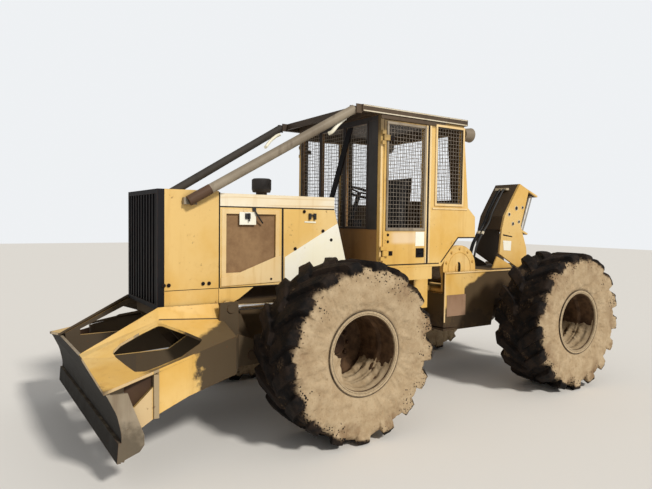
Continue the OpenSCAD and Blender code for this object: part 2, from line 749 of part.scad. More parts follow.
module roller_left() { color("silver") at_pivot() roller(); }
module roller_right() { color("silver") at_pivot() mirror([0, 1, 0]) roller(); }

// Rim: deep barrel with an inset disc and a hub sleeve, revolved about Y
rim_profile = [
    [90 + pin_gap, -395], [160, -395], [160, -215], [rim_r - 12, -215], [rim_r - 12, -272], [rim_r + 33, -275],
    [rim_r + 33, -258], [rim_r, -250], [rim_r, 250], [rim_r + 33, 258], [rim_r + 33, 275], [rim_r - 6, 275],
    [rim_r - 12, 250], [rim_r - 12, 90], [rim_r - 30, 60], [rim_r - 30, -195], [110, -195], [110, -175],
    [90 + pin_gap, -175]
];
module rim(x, side) {
    color("#3b2a1c") at_pivot() translate([x, side * wheel_track / 2, tyre_r])
        rotate([side > 0 ? -90 : 90, 0, 0]) rotate_extrude($fn = 64) polygon(rim_profile);
}

// Tyre: revolved carcass, and lugs that run from the middle of the tread over the shoulder
half_w = tyre_w / 2;
carcass_r = tyre_r - lug_h;
bead_r = rim_r + clearance;
tyre_profile = [
    [bead_r, -249], [bead_r + 34, -257], [bead_r + 45, -272], [bead_r + 120, -half_w + 6], [bead_r + 220, -half_w],
    [carcass_r - 90, -half_w + 6], [carcass_r - 35, -half_w + 26], [carcass_r, -half_w + 80],
    [carcass_r, half_w - 80], [carcass_r - 35, half_w - 26], [carcass_r - 90, half_w - 6],
    [bead_r + 220, half_w], [bead_r + 120, half_w - 6], [bead_r + 45, 272], [bead_r + 34, 257], [bead_r, 249]
];
// Lug stations: angle along the tread, width position, base radius and top radius
lug_pitch = 360 / lug_count;
lug_stations = [
    [0, -18, carcass_r - 20, tyre_r - 4],
    [0.42, 126, carcass_r - 20, tyre_r],
    [0.78, half_w - 52, carcass_r - 30, tyre_r - 2],
    [0.92, half_w - 8, carcass_r - 110, carcass_r - 30]
];
lug_span = 0.5;

module lug(flip) {
    n = len(lug_stations);
    points = [for (s = lug_stations, c = [[-1, 2], [1, 2], [1, 3], [-1, 3]])
        let (a = (s[0] + c[0] * lug_span / 2 * (c[1] == 3 ? 0.8 : 1)) * lug_pitch, r = s[c[1]])
        [r * cos(a), r * sin(a), flip * s[1]]];
    walls = [for (i = [0 : n - 2], k = [0 : 3]) each [
        [i * 4 + k, i * 4 + (k + 1) % 4, i * 4 + 4 + (k + 1) % 4],
        [i * 4 + k, i * 4 + 4 + (k + 1) % 4, i * 4 + 4 + k]
    ]];
    caps = [[0, 3, 2], [0, 2, 1], [n * 4 - 4, n * 4 - 3, n * 4 - 2], [n * 4 - 4, n * 4 - 2, n * 4 - 1]];
    faces = concat(walls, caps);
    polyhedron(points, flip > 0 ? faces : [for (f = faces) [f[2], f[1], f[0]]]);
}

module tyre(x) {
    translate([x, wheel_track / 2, tyre_r]) rotate([90, 0, 0]) {
        rotate_extrude($fn = 64) polygon(tyre_profile);
        for (i = [0 : lug_count - 1]) {
            rotate([0, 0, i * lug_pitch]) lug(1);
            rotate([0, 0, (i + 0.5) * lug_pitch]) lug(-1);
        }
    }
}

module rim_front_left() { rim(front_axle_x, 1); }
module rim_front_right() { rim(front_axle_x, -1); }
module rim_rear_left() { rim(rear_axle_x, 1); }
module rim_rear_right() { rim(rear_axle_x, -1); }
module tyre_front_left() { color("#4a4238") at_pivot() tyre(front_axle_x); }
module tyre_front_right() { color("#4a4238") at_pivot() mirror([0, 1, 0]) tyre(front_axle_x); }
module tyre_rear_left() { color("#4a4238") at_pivot() tyre(rear_axle_x); }
module tyre_rear_right() { color("#4a4238") at_pivot() mirror([0, 1, 0]) tyre(rear_axle_x); }

front_frame();
front_axle();
engine_block();
radiator_guard();
nose_panels();
hood_top();
side_doors();
cab_floor();
cab_front_wall();
cab_left_wall();
cab_right_wall();
cab_rear_wall();
cab_roof();
seat();
steering_console();
limb_risers();
exhaust_drum();
work_lamps();
cab_steps();
cab_screens();
cab_door_left();
cab_door_right();
door_screen_left();
door_screen_right();
push_frame();
blade();
lift_barrel_left();
lift_barrel_right();
lift_rod_left();
lift_rod_right();
steer_barrels();
steer_rod_left();
steer_rod_right();
rear_frame();
rear_axle();
butt_plate();
winch_housing();
winch_drum();
arch();
roller_left();
roller_right();
rim_front_left();
rim_front_right();
rim_rear_left();
rim_rear_right();
tyre_front_left();
tyre_front_right();
tyre_rear_left();
tyre_rear_right();
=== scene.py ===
# Cable skidder in faded yellow: paint, mud, tyres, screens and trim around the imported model.
import json
import math

import bmesh
import bpy
import numpy as np
from mathutils import Matrix, Vector
from mathutils.bvhtree import BVHTree


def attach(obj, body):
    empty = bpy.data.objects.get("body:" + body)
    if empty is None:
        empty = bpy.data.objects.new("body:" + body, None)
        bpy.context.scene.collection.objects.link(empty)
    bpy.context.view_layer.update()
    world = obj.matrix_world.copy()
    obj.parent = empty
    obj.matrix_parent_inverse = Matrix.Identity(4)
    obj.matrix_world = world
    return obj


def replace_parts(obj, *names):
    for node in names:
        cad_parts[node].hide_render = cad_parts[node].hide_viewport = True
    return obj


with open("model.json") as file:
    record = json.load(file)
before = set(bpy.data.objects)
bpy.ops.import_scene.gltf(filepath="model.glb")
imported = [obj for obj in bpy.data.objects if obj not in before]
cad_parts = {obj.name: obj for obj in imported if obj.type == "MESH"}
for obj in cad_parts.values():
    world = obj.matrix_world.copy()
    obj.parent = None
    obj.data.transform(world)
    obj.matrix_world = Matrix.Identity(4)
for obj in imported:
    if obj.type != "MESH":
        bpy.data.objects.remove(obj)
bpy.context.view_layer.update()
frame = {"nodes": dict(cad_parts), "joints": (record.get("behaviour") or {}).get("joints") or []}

# Every place below counts from the articulation joint, like the model's: x forward, y left, z up, in metres
pivotX = frame["joints"][0]["pos_m"][0]
shift = np.array([pivotX, 0.0, 0.0])  # from there to the row frame
axleX, axleZ = 1.515, 0.775  # the axles lie this far ahead and behind, and this high
wheels = [(end + "_" + sideName, ahead, side) for end, ahead in (("front", 1), ("rear", -1))
          for sideName, side in (("left", 1), ("right", -1))]


def addObject(name, data):
    made = bpy.data.objects.new(name, data)
    bpy.context.scene.collection.objects.link(made)
    return made


# Camera at the photograph's viewing angle, in degrees; focal and width are in pixels
cameraLook = dict(place=(4.393, 5.131, 1.876), yaw=-123.611, pitch=-2.386, roll=0.754, focal=567.8, width=652,
                  sensor=36.0, reach=200.0)


def makeCamera(look):
    yaw, pitch, roll = (math.radians(look[k]) for k in ("yaw", "pitch", "roll"))
    ahead = Vector((math.cos(yaw) * math.cos(pitch), math.sin(yaw) * math.cos(pitch), math.sin(pitch)))
    right = ahead.cross(Vector((0, 0, 1))).normalized()
    up = right.cross(ahead)
    side = math.cos(roll) * right + math.sin(roll) * up
    top = -math.sin(roll) * right + math.cos(roll) * up
    turn = Matrix((side, top, -ahead)).transposed().to_4x4()
    x, y, z = look["place"]
    camera = addObject("camera", bpy.data.cameras.new("camera"))
    camera.data.sensor_width = look["sensor"]
    camera.data.lens = look["focal"] / look["width"] * look["sensor"]
    camera.data.clip_end = look["reach"]
    camera.matrix_world = Matrix.Translation((pivotX + x, y, z)) @ turn
    bpy.context.scene.camera = camera


makeCamera(cameraLook)
print("camera placed")


# Shader maths: a Value wraps a socket, and arithmetic on it adds Math nodes
class Value:
    def __init__(self, shader, socket):
        self.shader = shader
        self.socket = socket

    def maths(self, operation, *parts, clamp=False):
        settings = dict(operation=operation, use_clamp=clamp)
        return self.shader.node("ShaderNodeMath", settings, dict(enumerate(parts)))

    def __add__(self, other):
        return self.maths("ADD", self, other)

    def __radd__(self, other):
        return self.maths("ADD", other, self)

    def __sub__(self, other):
        return self.maths("SUBTRACT", self, other)

    def __rsub__(self, other):
        return self.maths("SUBTRACT", other, self)

    def __mul__(self, other):
        return self.maths("MULTIPLY", self, other)

    def clamped(self):
        return self.maths("ADD", self, 0.0, clamp=True)

    def most(self, other):
        return self.maths("MAXIMUM", self, other)

    def sine(self):
        return self.maths("SINE", self)

    def root(self):
        return self.maths("SQRT", self)

    def size(self):  # the value without its sign
        return self.maths("ABSOLUTE", self)

    def ease(self, low, high):  # 0 at low, 1 at high, smooth between, also where low is above high
        return self.shader.node("ShaderNodeMapRange", dict(interpolation_type="SMOOTHSTEP"),
                                {"Value": self, "From Min": low, "From Max": high})


class Shader:
    def __init__(self, name):
        self.material = bpy.data.materials.new(name)
        self.material.use_nodes = True
        self.tree = self.material.node_tree
        self.tree.nodes.clear()
        self.coords = self.node("ShaderNodeTexCoord", out="Object")

    def node(self, kind, settings=None, values=None, out=0):
        made = self.tree.nodes.new(kind)
        for key, value in (settings or {}).items():
            setattr(made, key, value)
        for key, value in (values or {}).items():
            if isinstance(value, Value):
                self.tree.links.new(value.socket, made.inputs[key])
            elif isinstance(value, (tuple, list)) and made.inputs[key].type == "RGBA":
                made.inputs[key].default_value = (*value, 1.0)
            else:
                made.inputs[key].default_value = value
        return Value(self, made.outputs[out]) if made.outputs else None

    def noise(self, scale, detail=4.0, rough=0.55, stretch=None):
        where = self.coords
        if stretch:
            where = self.node("ShaderNodeMapping", None, {"Vector": where, "Scale": stretch})
        return self.node("ShaderNodeTexNoise", None,
                         {"Vector": where, "Scale": scale, "Detail": detail, "Roughness": rough})

    def cells(self, scale):  # distance from the nearest of many scattered points
        return self.node("ShaderNodeTexVoronoi", None, {"Vector": self.coords, "Scale": scale})

    def mix(self, factor, first, second):
        return self.node("ShaderNodeMix", dict(data_type="RGBA"), {0: factor, 6: first, 7: second}, out=2)

    def axis(self, letter):  # a point's place along an axis
        value = self.node("ShaderNodeSeparateXYZ", None, {0: self.coords}, out=letter)
        return value - pivotX if letter == "X" else value

    def wheelRadius(self):  # distance from the axle's line, the same for all four wheels
        across, up = self.axis("X").size() - axleX, self.axis("Z") - axleZ
        return (across * across + up * up).root()

    def facing(self, letter):  # how far the surface faces along an axis of the model
        normal = self.node("ShaderNodeNewGeometry", out="Normal")
        return self.node("ShaderNodeSeparateXYZ", None, {0: normal}, out=letter)

    def inward(self):  # 1 on faces that look towards the machine's middle plane
        return (self.axis("Y") * self.facing("Y")).ease(-0.02, -0.08)

    def edges(self, radius):  # 0 on flats, up to 1 along sharp edges
        bevelled = self.node("ShaderNodeBevel", dict(samples=4), {"Radius": radius})
        normal = self.node("ShaderNodeNewGeometry", out="Normal")
        same = self.node("ShaderNodeVectorMath", dict(operation="DOT_PRODUCT"), {0: bevelled, 1: normal},
                         out="Value")
        return (1.0 - same).ease(0.01, 0.2)

    def shelter(self, reach):  # 1 in corners and behind pieces, 0 in the open
        return 1.0 - self.node("ShaderNodeAmbientOcclusion", dict(samples=4), {"Distance": reach}, out="AO")

    def attribute(self, name):
        return self.node("ShaderNodeAttribute", dict(attribute_name=name), out="Fac")

    def bump(self, height, strength, distance):
        values = {"Height": height, "Strength": strength, "Distance": distance}
        return self.node("ShaderNodeBump", None, values)

    def finish(self, base, rough, normal=None, metallic=0.0, specular=0.4):
        values = {"Base Color": base, "Roughness": rough, "Metallic": metallic,
                  "Specular IOR Level": specular}
        if normal:
            values["Normal"] = normal
        self.node("ShaderNodeOutputMaterial", None, {0: self.node("ShaderNodeBsdfPrincipled", None, values)})
        return self.material


# Faded paint. Grime gathers low down and in runs; corners and places behind pieces are darkened too, as
# painted shade; chips and rust follow the edges
yellowLook = dict(colour=(0.73, 0.445, 0.11), faded=(0.79, 0.54, 0.2), deep=(0.57, 0.31, 0.065), runs=0.35,
                  dust=0.3, dustColour=(0.68, 0.48, 0.25), grime=0.6, grimeColour=(0.075, 0.042, 0.02),
                  grimeTop=0.95, grimeFoot=0.35, chips=0.65, rust=(0.14, 0.055, 0.022), shine=0.35, lines=0.0)


# changes replace values of yellowLook; the second argument, called with (shader, noise), adds grime and
# painted shade, and tint(shader, base) other colours
def paint(name, soilAndShade=None, tint=None, **changes):
    look = dict(yellowLook, **changes)
    s = Shader(name)
    big, mid, fine = s.noise(1.6, 5.0), s.noise(6.5, 6.0, 0.62), s.noise(38.0, 4.0, 0.6)
    runs = s.noise(11.0, 4.0, stretch=(1.0, 1.0, 0.09))
    low = s.axis("Z").ease(look["grimeTop"], look["grimeFoot"])
    top = s.facing("Z").clamped()
    # painted shade: occlusion darkens corners and faces near other pieces
    corner = s.shelter(0.12)
    base = s.mix(big.ease(0.38, 0.62), look["colour"], look["faded"])
    base = s.mix(runs.ease(0.52, 0.72) * look["runs"], base, look["deep"])
    base = s.mix((mid * 0.7 + fine * 0.3).ease(0.52, 0.66) * look["runs"] * 0.45, base, look["deep"])
    dust = (mid * 0.8 + top * 0.25 + low * 0.35).ease(0.55, 0.95) * look["dust"]
    base = s.mix(dust, base, look["dustColour"])
    grime = ((corner * 1.1).ease(0.25, 0.95) * 0.75 + (mid + low * 0.55).ease(0.66, 1.0)) * look["grime"]
    if soilAndShade:
        grime = grime.most(soilAndShade(s, mid))
    if tint:
        base = tint(s, base)
    if look["lines"]:  # long scratches along the machine
        scratch = s.noise(60.0, 3.0, stretch=(0.012, 0.2, 1.0)).ease(0.5, 0.7)
        base = s.mix(scratch * look["lines"], base, look["deep"])
    base = s.mix(grime.clamped(), base, look["grimeColour"])
    chip = (s.edges(0.007) * 0.55 + mid * 0.5 + fine * 0.45).ease(0.93, 1.08) * look["chips"]
    speck = (fine * 0.75 + mid * 0.45).ease(0.745, 0.8) * look["chips"]
    base = s.mix(chip.most(speck * 0.8).clamped(), base, look["rust"])
    rough = 0.46 + dust * 0.3 + grime * 0.2 + fine * 0.08
    normal = s.bump(mid * 0.6 + fine * 0.4 + grime * 0.4, 0.28, 0.004)
    return s.finish(base, rough, normal, specular=look["shine"])


def cabShadeAndTopDarkening(s, mid):  # painted shade on the inside faces, and darker near the roof, most towards the front
    high = (s.axis("Z") + mid * 0.5).ease(2.72, 3.1) * s.axis("X").ease(0.15, 0.8)
    return s.inward().most(high * 0.9).most((s.axis("Z") + mid * 0.04).ease(2.87, 2.9) * 0.7) * 0.95


def cabTint(s, base):  # a paler, rubbed band below the doors' screens
    band = (s.axis("Z") - 1.715).size().ease(0.08, 0.035) * (s.axis("X") - 0.51).size().ease(0.26, 0.14)
    return s.mix(band * (0.22 + s.noise(2.5, 3.0) * 0.55), base, (0.9, 0.76, 0.6))


def frameShadeAndDirt(s, mid):  # painted shade on the inside and front faces, the rear wheels' painted shadow below a slant ahead of them, shade and dirt under the engine, and darker low down at the rear
    x, z = s.axis("X"), s.axis("Z")
    # the rear wheel's cast shadow, painted as a dark slant
    slant = (x * 0.505 + z + (mid - 0.5) * 0.12).ease(0.725, 0.685) * (x + mid * 0.03).ease(-0.75, -0.765)
    rear = slant.most((z + mid * 0.08).ease(0.86, 0.82) * x.ease(-0.4, -0.45)) * x.ease(-2.19, -2.15)
    dark = s.inward().most(s.facing("X").ease(0.3, 0.6))
    return dark.most((x + mid * 0.2).ease(1.05, 1.2)).most(rear) * 0.95


def archShadeAndOil(s, mid):  # dark inside and between the side plates, oil and painted shade, and painted shade on front faces towards the far side
    dark = s.inward().most(s.axis("Y").size().ease(0.178, 0.172))
    return dark.most(s.facing("X").ease(0.2, 0.4) * s.axis("Y").ease(0.15, -0.15)) * 0.96


def pushMudAndShade(s, mid):  # mud and painted shade: painted shade inside and under the arms, mud and the front wheels' painted shadow behind an uneven edge on their sides, mud on parts of the deck
    x, y = s.axis("X"), s.axis("Y").size()
    upright = 1.0 - s.facing("Z").size().ease(0.15, 0.4)
    flat = 1.0 - upright
    behind = (x + mid * 0.35).ease(3.03, 2.97) * upright
    within = y.ease(0.57, 0.55) * upright
    under = s.facing("Z").ease(-0.3, -0.6)
    corner = (x * 0.8 + y * 0.6 + mid * 0.25).ease(3.6, 3.67) * 0.8
    # the front wheels' painted shadow on the deck's rear outer part
    rear = (x - y * 1.16 + mid * 0.2).ease(1.89, 1.83) * y.ease(0.565, 0.575) * flat * 0.96
    strip = (y - x * 0.25 + mid * 0.08).ease(0.305, 0.345) * (x + mid * 0.25).ease(3.44, 3.34) * flat * 0.85
    # painted shade along the fold
    crease = (y - 0.561).size().ease(0.007, 0.005) * x.ease(2.985, 2.97) * flat
    soilAndShade = s.inward()
    for patch in (behind, within, under, corner, rear, strip, crease):
        soilAndShade = soilAndShade.most(patch)
    return soilAndShade * 0.97


def pushTint(s, base):  # pale gusset beside the end plate, grey post behind it
    upright = 1.0 - s.facing("Z").size().ease(0.15, 0.4)
    base = s.mix(s.axis("X").ease(3.192, 3.2) * upright * 0.7, base, (0.6, 0.47, 0.3))
    return s.mix((s.axis("X") - 3.168).size().ease(0.024, 0.021) * upright * 0.75, base, (0.27, 0.24, 0.19))


yellowPaint = paint("machineYellow")
cabYellow = paint("cabYellow", cabShadeAndTopDarkening, cabTint, dust=0.5, dustColour=(0.76, 0.58, 0.35),
                  grimeColour=(0.05, 0.038, 0.028))
doorYellow = paint("doorYellow", colour=(0.8, 0.52, 0.16), faded=(0.86, 0.62, 0.27))
# painted shade on the rear wall's faces that look forward, into the cab
rearYellow = paint("rearYellow", lambda s, mid: s.facing("X").ease(0.3, 0.7) * 0.95)
archYellow = paint("archYellow", archShadeAndOil, grimeColour=(0.04, 0.026, 0.018))
frameYellow = paint("frameYellow", frameShadeAndDirt, grimeTop=1.02, grimeFoot=0.72, grime=0.98, dust=0.45,
                    grimeColour=(0.045, 0.028, 0.016))
deckYellow = paint("deckYellow", pushMudAndShade, pushTint, grimeTop=0.4, grimeFoot=0.2, grime=0.9, dust=0.25,
                   chips=0.8, grimeColour=(0.062, 0.044, 0.027))
creamPaint = paint("railCream", colour=(0.88, 0.74, 0.5), faded=(0.92, 0.84, 0.66), deep=(0.66, 0.44, 0.2),
                   lines=0.7, runs=0.3, dustColour=(0.78, 0.66, 0.46), grime=0.35)
palePlate = paint("palePlate", colour=(0.95, 0.92, 0.74), faded=(0.95, 0.94, 0.84), deep=(0.78, 0.7, 0.46),
                  runs=0.25, dust=0.2, dustColour=(0.9, 0.84, 0.66), grime=0.2, chips=0.3)
darkPaint = paint("oilyDark", colour=(0.055, 0.038, 0.026), faded=(0.1, 0.068, 0.042), dust=0.45,
                  deep=(0.03, 0.02, 0.014), dustColour=(0.22, 0.15, 0.085), grimeColour=(0.02, 0.014, 0.01),
                  rust=(0.1, 0.04, 0.018))
brownPaint = paint("cabBrown", colour=(0.3, 0.155, 0.05), faded=(0.36, 0.2, 0.075), deep=(0.14, 0.065, 0.022),
                   dustColour=(0.3, 0.2, 0.1), dust=0.4, grime=0.9)
blackPaint = paint("guardBlack", colour=(0.008, 0.008, 0.01), faded=(0.017, 0.017, 0.02), runs=0.2,
                   deep=(0.005, 0.005, 0.005), dustColour=(0.05, 0.043, 0.037), dust=0.2,
                   grimeColour=(0.01, 0.01, 0.01), chips=0.5, shine=0.08)
# the far-side tubes are darker as painted shade
tubePaint = paint("wornTube", lambda s, mid: s.axis("Y").ease(0.1, -0.1) * 0.92, colour=(0.235, 0.195, 0.145),
                  faded=(0.34, 0.29, 0.22), deep=(0.1, 0.07, 0.05), runs=0.5, dustColour=(0.42, 0.35, 0.26),
                  grimeColour=(0.026, 0.024, 0.024), shine=0.2)
stackPaint = paint("stackBlack", colour=(0.028, 0.026, 0.028), faded=(0.05, 0.046, 0.046),
                   deep=(0.014, 0.01, 0.009), dustColour=(0.1, 0.075, 0.055))
# front and back faces of the blade darkened, mud and painted shade
bladePaint = paint("bladeMud", lambda s, mid: (s.facing("X").size() + mid * 0.3).ease(0.3, 0.55) * 0.97,
                   colour=(0.275, 0.225, 0.16), faded=(0.36, 0.305, 0.23), deep=(0.16, 0.11, 0.07), runs=0.5,
                   dustColour=(0.38, 0.3, 0.2), dust=0.6, grimeTop=0.7, grimeFoot=0.2,
                   grimeColour=(0.019, 0.018, 0.017), shine=0.12)
print("paint mixed")


def steel(name, look):  # rubbed or plated metal with streaks along one axis, a film of dirt, and painted shade in sheltered places
    s = Shader(name)
    mid, fine = s.noise(9.0, 5.0, 0.6), s.noise(60.0, 3.0, stretch=look["grain"])
    dirtAndShade = (mid + s.shelter(0.06) * 0.5).ease(0.55, 0.9) * look["dirtAndShade"]
    base = s.mix(fine.ease(0.3, 0.7), look["colour"], look["worn"])
    base = s.mix(dirtAndShade, base, look["dirtAndShadeColour"])
    rough = look["rough"] + dirtAndShade * 0.4 + fine * 0.1
    return s.finish(base, rough, s.bump(fine + dirtAndShade, 0.12, 0.002), metallic=1.0 - dirtAndShade, specular=0.5)


bareSteel = steel("bareSteel", dict(colour=(0.5, 0.47, 0.43), worn=(0.66, 0.64, 0.6), grain=(1.0, 1.0, 0.1),
                                    dirtAndShade=0.7, dirtAndShadeColour=(0.14, 0.08, 0.045), rough=0.3))
rodChrome = steel("rodChrome", dict(colour=(0.72, 0.72, 0.73), worn=(0.8, 0.8, 0.81), grain=(0.1, 1.0, 1.0),
                                    dirtAndShade=0.35, dirtAndShadeColour=(0.1, 0.07, 0.05), rough=0.12))


def tyreRubber():  # "mud" says where it sits: damp on the tread, with its dark colour also standing for painted shade, dry with stones on the sidewall
    s = Shader("tyreMud")
    mid, fine, clods = s.noise(7.0, 6.0, 0.65), s.noise(55.0, 5.0, 0.65), s.cells(26.0)
    packed, specks = s.attribute("mud"), s.cells(38.0)
    shoulder = s.wheelRadius().ease(0.44, 0.7)
    patch = s.noise(4.5, 5.0, 0.65).ease(0.46, 0.62)
    cover = packed + (mid - 0.5) * 0.9 + (fine - 0.5) * 0.5 - (0.3 - clods).clamped() * 0.9
    cover = cover - (0.4 - specks).clamped() * shoulder * (0.35 + patch) * 2.6
    cover = cover - (0.34 - s.cells(21.0)).clamped() * shoulder * patch * 3.4
    dry = s.mix(mid.ease(0.35, 0.65), (0.4, 0.295, 0.18), (0.49, 0.38, 0.245))
    dry = s.mix(fine.ease(0.5, 0.75) * 0.6, dry, (0.27, 0.175, 0.095))
    # the tread's dark mud colour is also painted shade
    dampAndShaded = s.mix(mid.ease(0.4, 0.6), (0.038, 0.026, 0.017), (0.115, 0.08, 0.05))
    dry = s.mix(s.noise(3.6, 5.0, 0.6).ease(0.48, 0.64) * shoulder * 0.75, dry, (0.21, 0.13, 0.07))
    mud = s.mix((packed + (mid - 0.5) * 0.4).ease(0.5, 0.72), dampAndShaded, dry)
    rubber = s.mix(mid.ease(0.4, 0.6), (0.007, 0.006, 0.006), (0.024, 0.016, 0.012))
    base = s.mix(cover.ease(0.42, 0.54), rubber, mud)
    rough = 0.72 + cover.ease(0.4, 0.6) * 0.22
    height = cover.ease(0.4, 0.62) * 0.7 + fine * 0.5 + mid * 0.4
    return s.finish(base, rough, s.bump(height, 0.7, 0.012), specular=0.12)


def rimRust():  # dark dish, and a beige flange with a dark groove beside the tyre's bead
    s = Shader("rimRust")
    mid, fine, radius = s.noise(13.0, 5.0, 0.6), s.noise(60.0, 4.0), s.wheelRadius()
    groove = (radius - 0.3595).size().ease(0.0065, 0.003)
    groove = groove.most((radius - 0.334).size().ease(0.004, 0.002) * 0.6)
    flange = (radius + (mid - 0.5) * 0.004).ease(0.3185, 0.3225)
    mud = s.mix(fine.ease(0.35, 0.65), (0.38, 0.285, 0.175), (0.49, 0.385, 0.25))
    dark = s.mix(mid.ease(0.35, 0.65), (0.06, 0.032, 0.017), (0.14, 0.08, 0.042))
    base = s.mix(groove * (0.35 + mid), s.mix(flange, dark, mud), (0.025, 0.015, 0.01))
    return s.finish(base, 0.66 + flange * 0.2, s.bump(flange * 0.4 + fine * 0.3, 0.5, 0.006), specular=0.25)


def packedMud():
    s = Shader("packedMud")
    mid, fine = s.noise(9.0, 6.0, 0.65), s.noise(60.0, 5.0, 0.6)
    base = s.mix(mid.ease(0.35, 0.65), (0.37, 0.27, 0.16), (0.49, 0.38, 0.245))
    # painted shade: darker in sheltered hollows
    base = s.mix((s.shelter(0.05) * 0.6 + fine * 0.5).ease(0.45, 0.8), base, (0.16, 0.1, 0.055))
    return s.finish(base, 0.92, s.bump(mid * 0.5 + fine * 0.6, 0.6, 0.006), specular=0.2)


def leather():
    s = Shader("seatBlack")
    mid, fine, grain = s.noise(8.0), s.noise(70.0, 3.0), s.cells(420.0)
    base = s.mix(mid.ease(0.4, 0.7) * 0.6, (0.018, 0.017, 0.017), (0.075, 0.06, 0.05))
    return s.finish(base, 0.45 + mid * 0.25, s.bump(grain * 0.5 + fine * 0.5, 0.35, 0.0012), specular=0.4)


tyreMud, rimPaint, mudPaint, seatBlack = tyreRubber(), rimRust(), packedMud(), leather()


def wear(material, *names):
    for name in names:
        materials = frame["nodes"][name].data.materials
        materials.clear()
        materials.append(material)


wear(yellowPaint, "nose_panels")
wear(doorYellow, "side_doors", "winch_housing")
wear(cabYellow, "cab_left_wall", "cab_right_wall", "cab_door_left", "cab_door_right", "cab_floor")
wear(rearYellow, "cab_rear_wall")
wear(archYellow, "arch")
wear(deckYellow, "push_frame")
wear(frameYellow, "front_frame", "rear_frame", "butt_plate", "cab_steps",
     "lift_barrel_left", "lift_barrel_right", "steer_barrels")
wear(creamPaint, "hood_top")
wear(blackPaint, "radiator_guard", "steering_console", "cab_screens", "door_screen_left", "door_screen_right")
wear(darkPaint, "front_axle", "rear_axle", "engine_block", "winch_drum", "cab_roof")
wear(stackPaint, "exhaust_drum")
wear(brownPaint, "cab_front_wall")
wear(tubePaint, "limb_risers", "work_lamps")
wear(bladePaint, "blade")
wear(bareSteel, "roller_left", "roller_right")
wear(rodChrome, "lift_rod_left", "lift_rod_right", "steer_rod_left", "steer_rod_right")
wear(rimPaint, *["rim_" + wheel for wheel, ahead, side in wheels])
print("model dressed")


# Meshes: each maker returns points and faces, and makePiece joins any number of them into one piece
def gridFaces(rows, cols, roundRows=False, roundCols=False):  # quads; a point's number is row * cols + column
    r = np.arange(rows if roundRows else rows - 1)[:, None]
    c = np.arange(cols if roundCols else cols - 1)[None, :]
    nextR, nextC = (r + 1) % rows, (c + 1) % cols
    quads = [r * cols + c, r * cols + nextC, nextR * cols + nextC, nextR * cols + c]
    return np.stack(quads, -1).reshape(-1, 4)


meshLook = dict(weld=1e-6, bevelSteps=2, bevelAngle=40.0)


def makePiece(name, body, material, parts, bevel=0.0, smoothAngle=35.0, mud=None):
    points = np.concatenate([p for p, f in parts])
    starts = np.cumsum([0] + [len(p) for p, f in parts])
    faces = [[i + start for i in face] for (p, f), start in zip(parts, starts)
             for face in (f.tolist() if isinstance(f, np.ndarray) else f)]
    mesh = bpy.data.meshes.new(name)
    mesh.from_pydata(points + shift, [], faces)
    if mud is not None:
        mesh.attributes.new("mud", "FLOAT", "POINT").data.foreach_set("value", mud.astype(np.float32))
    work = bmesh.new()
    work.from_mesh(mesh)
    bmesh.ops.remove_doubles(work, verts=work.verts, dist=meshLook["weld"])
    bmesh.ops.recalc_face_normals(work, faces=work.faces)
    work.to_mesh(mesh)
    work.free()
    mesh.shade_smooth()
    mesh.set_sharp_from_angle(angle=math.radians(smoothAngle))
    mesh.materials.append(material)
    piece = addObject(name, mesh)
    if bevel:
        rounder = piece.modifiers.new("bevel", "BEVEL")
        rounder.width, rounder.segments, rounder.limit_method = bevel, meshLook["bevelSteps"], "ANGLE"
        rounder.angle_limit = math.radians(meshLook["bevelAngle"])
    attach(piece, body)
    return piece


def mirrored(parts):  # the same parts on the other side, y changed to -y and the faces turned over
    flip = np.array([1.0, -1.0, 1.0])
    return [(p * flip, f[:, ::-1] if isinstance(f, np.ndarray) else [g[::-1] for g in f]) for p, f in parts]


def bothSides(parts):
    return parts + mirrored(parts)


# Trim on a wall: its parts are drawn with the wall's face at 0 and moved out to y, on one side or both
def addTrim(name, body, material, parts, bevel=0.0, y=0.0, turn=bothSides):
    moved = [(p + np.array([0.0, y, 0.0]), f) for p, f in parts]
    return makePiece(name, body, material, turn(moved), bevel)


def block(low, high):  # a box between two corners
    xs, ys, zs = zip(low, high)
    corners = np.array([(x, y, z) for x in xs for y in ys for z in zs])
    faces = [[0, 1, 3, 2], [4, 6, 7, 5], [0, 4, 5, 1], [2, 3, 7, 6], [0, 2, 6, 4], [1, 5, 7, 3]]
    return corners, np.array(faces)


def sideSlab(y0, y1, *outline):  # an outline of points in x and z, from y0 to y1
    n = len(outline)
    here = np.arange(n)
    after = (here + 1) % n
    walls = np.stack([here, after, after + n, here + n], -1).tolist()
    points = np.array([(x, y, z) for y in (y0, y1) for x, z in outline])
    return points, walls + [here[::-1].tolist(), (here + n).tolist()]


def ringPoints(side, over, sides):  # a unit circle: cosine along side plus sine along over
    turn = np.arange(sides)[:, None] * 2 * math.pi / sides
    return np.cos(turn) * side + np.sin(turn) * over


def tube(path, radius, sides):  # a circle of the given radius carried along a path of points, ends closed
    path = np.asarray(path, float)
    ahead = np.gradient(path, axis=0)
    ahead /= np.linalg.norm(ahead, axis=1, keepdims=True)
    up = np.eye(3)[np.argmin(np.abs(ahead).max(axis=0))]
    side = np.cross(ahead, up)
    side /= np.linalg.norm(side, axis=1, keepdims=True)
    rings = path[:, None] + radius * ringPoints(side[:, None], np.cross(side, ahead)[:, None], sides)
    faces = gridFaces(len(path), sides, roundCols=True).tolist()
    last = (len(path) - 1) * sides
    return rings.reshape(-1, 3), faces + [list(range(sides))[::-1], [last + i for i in range(sides)]]


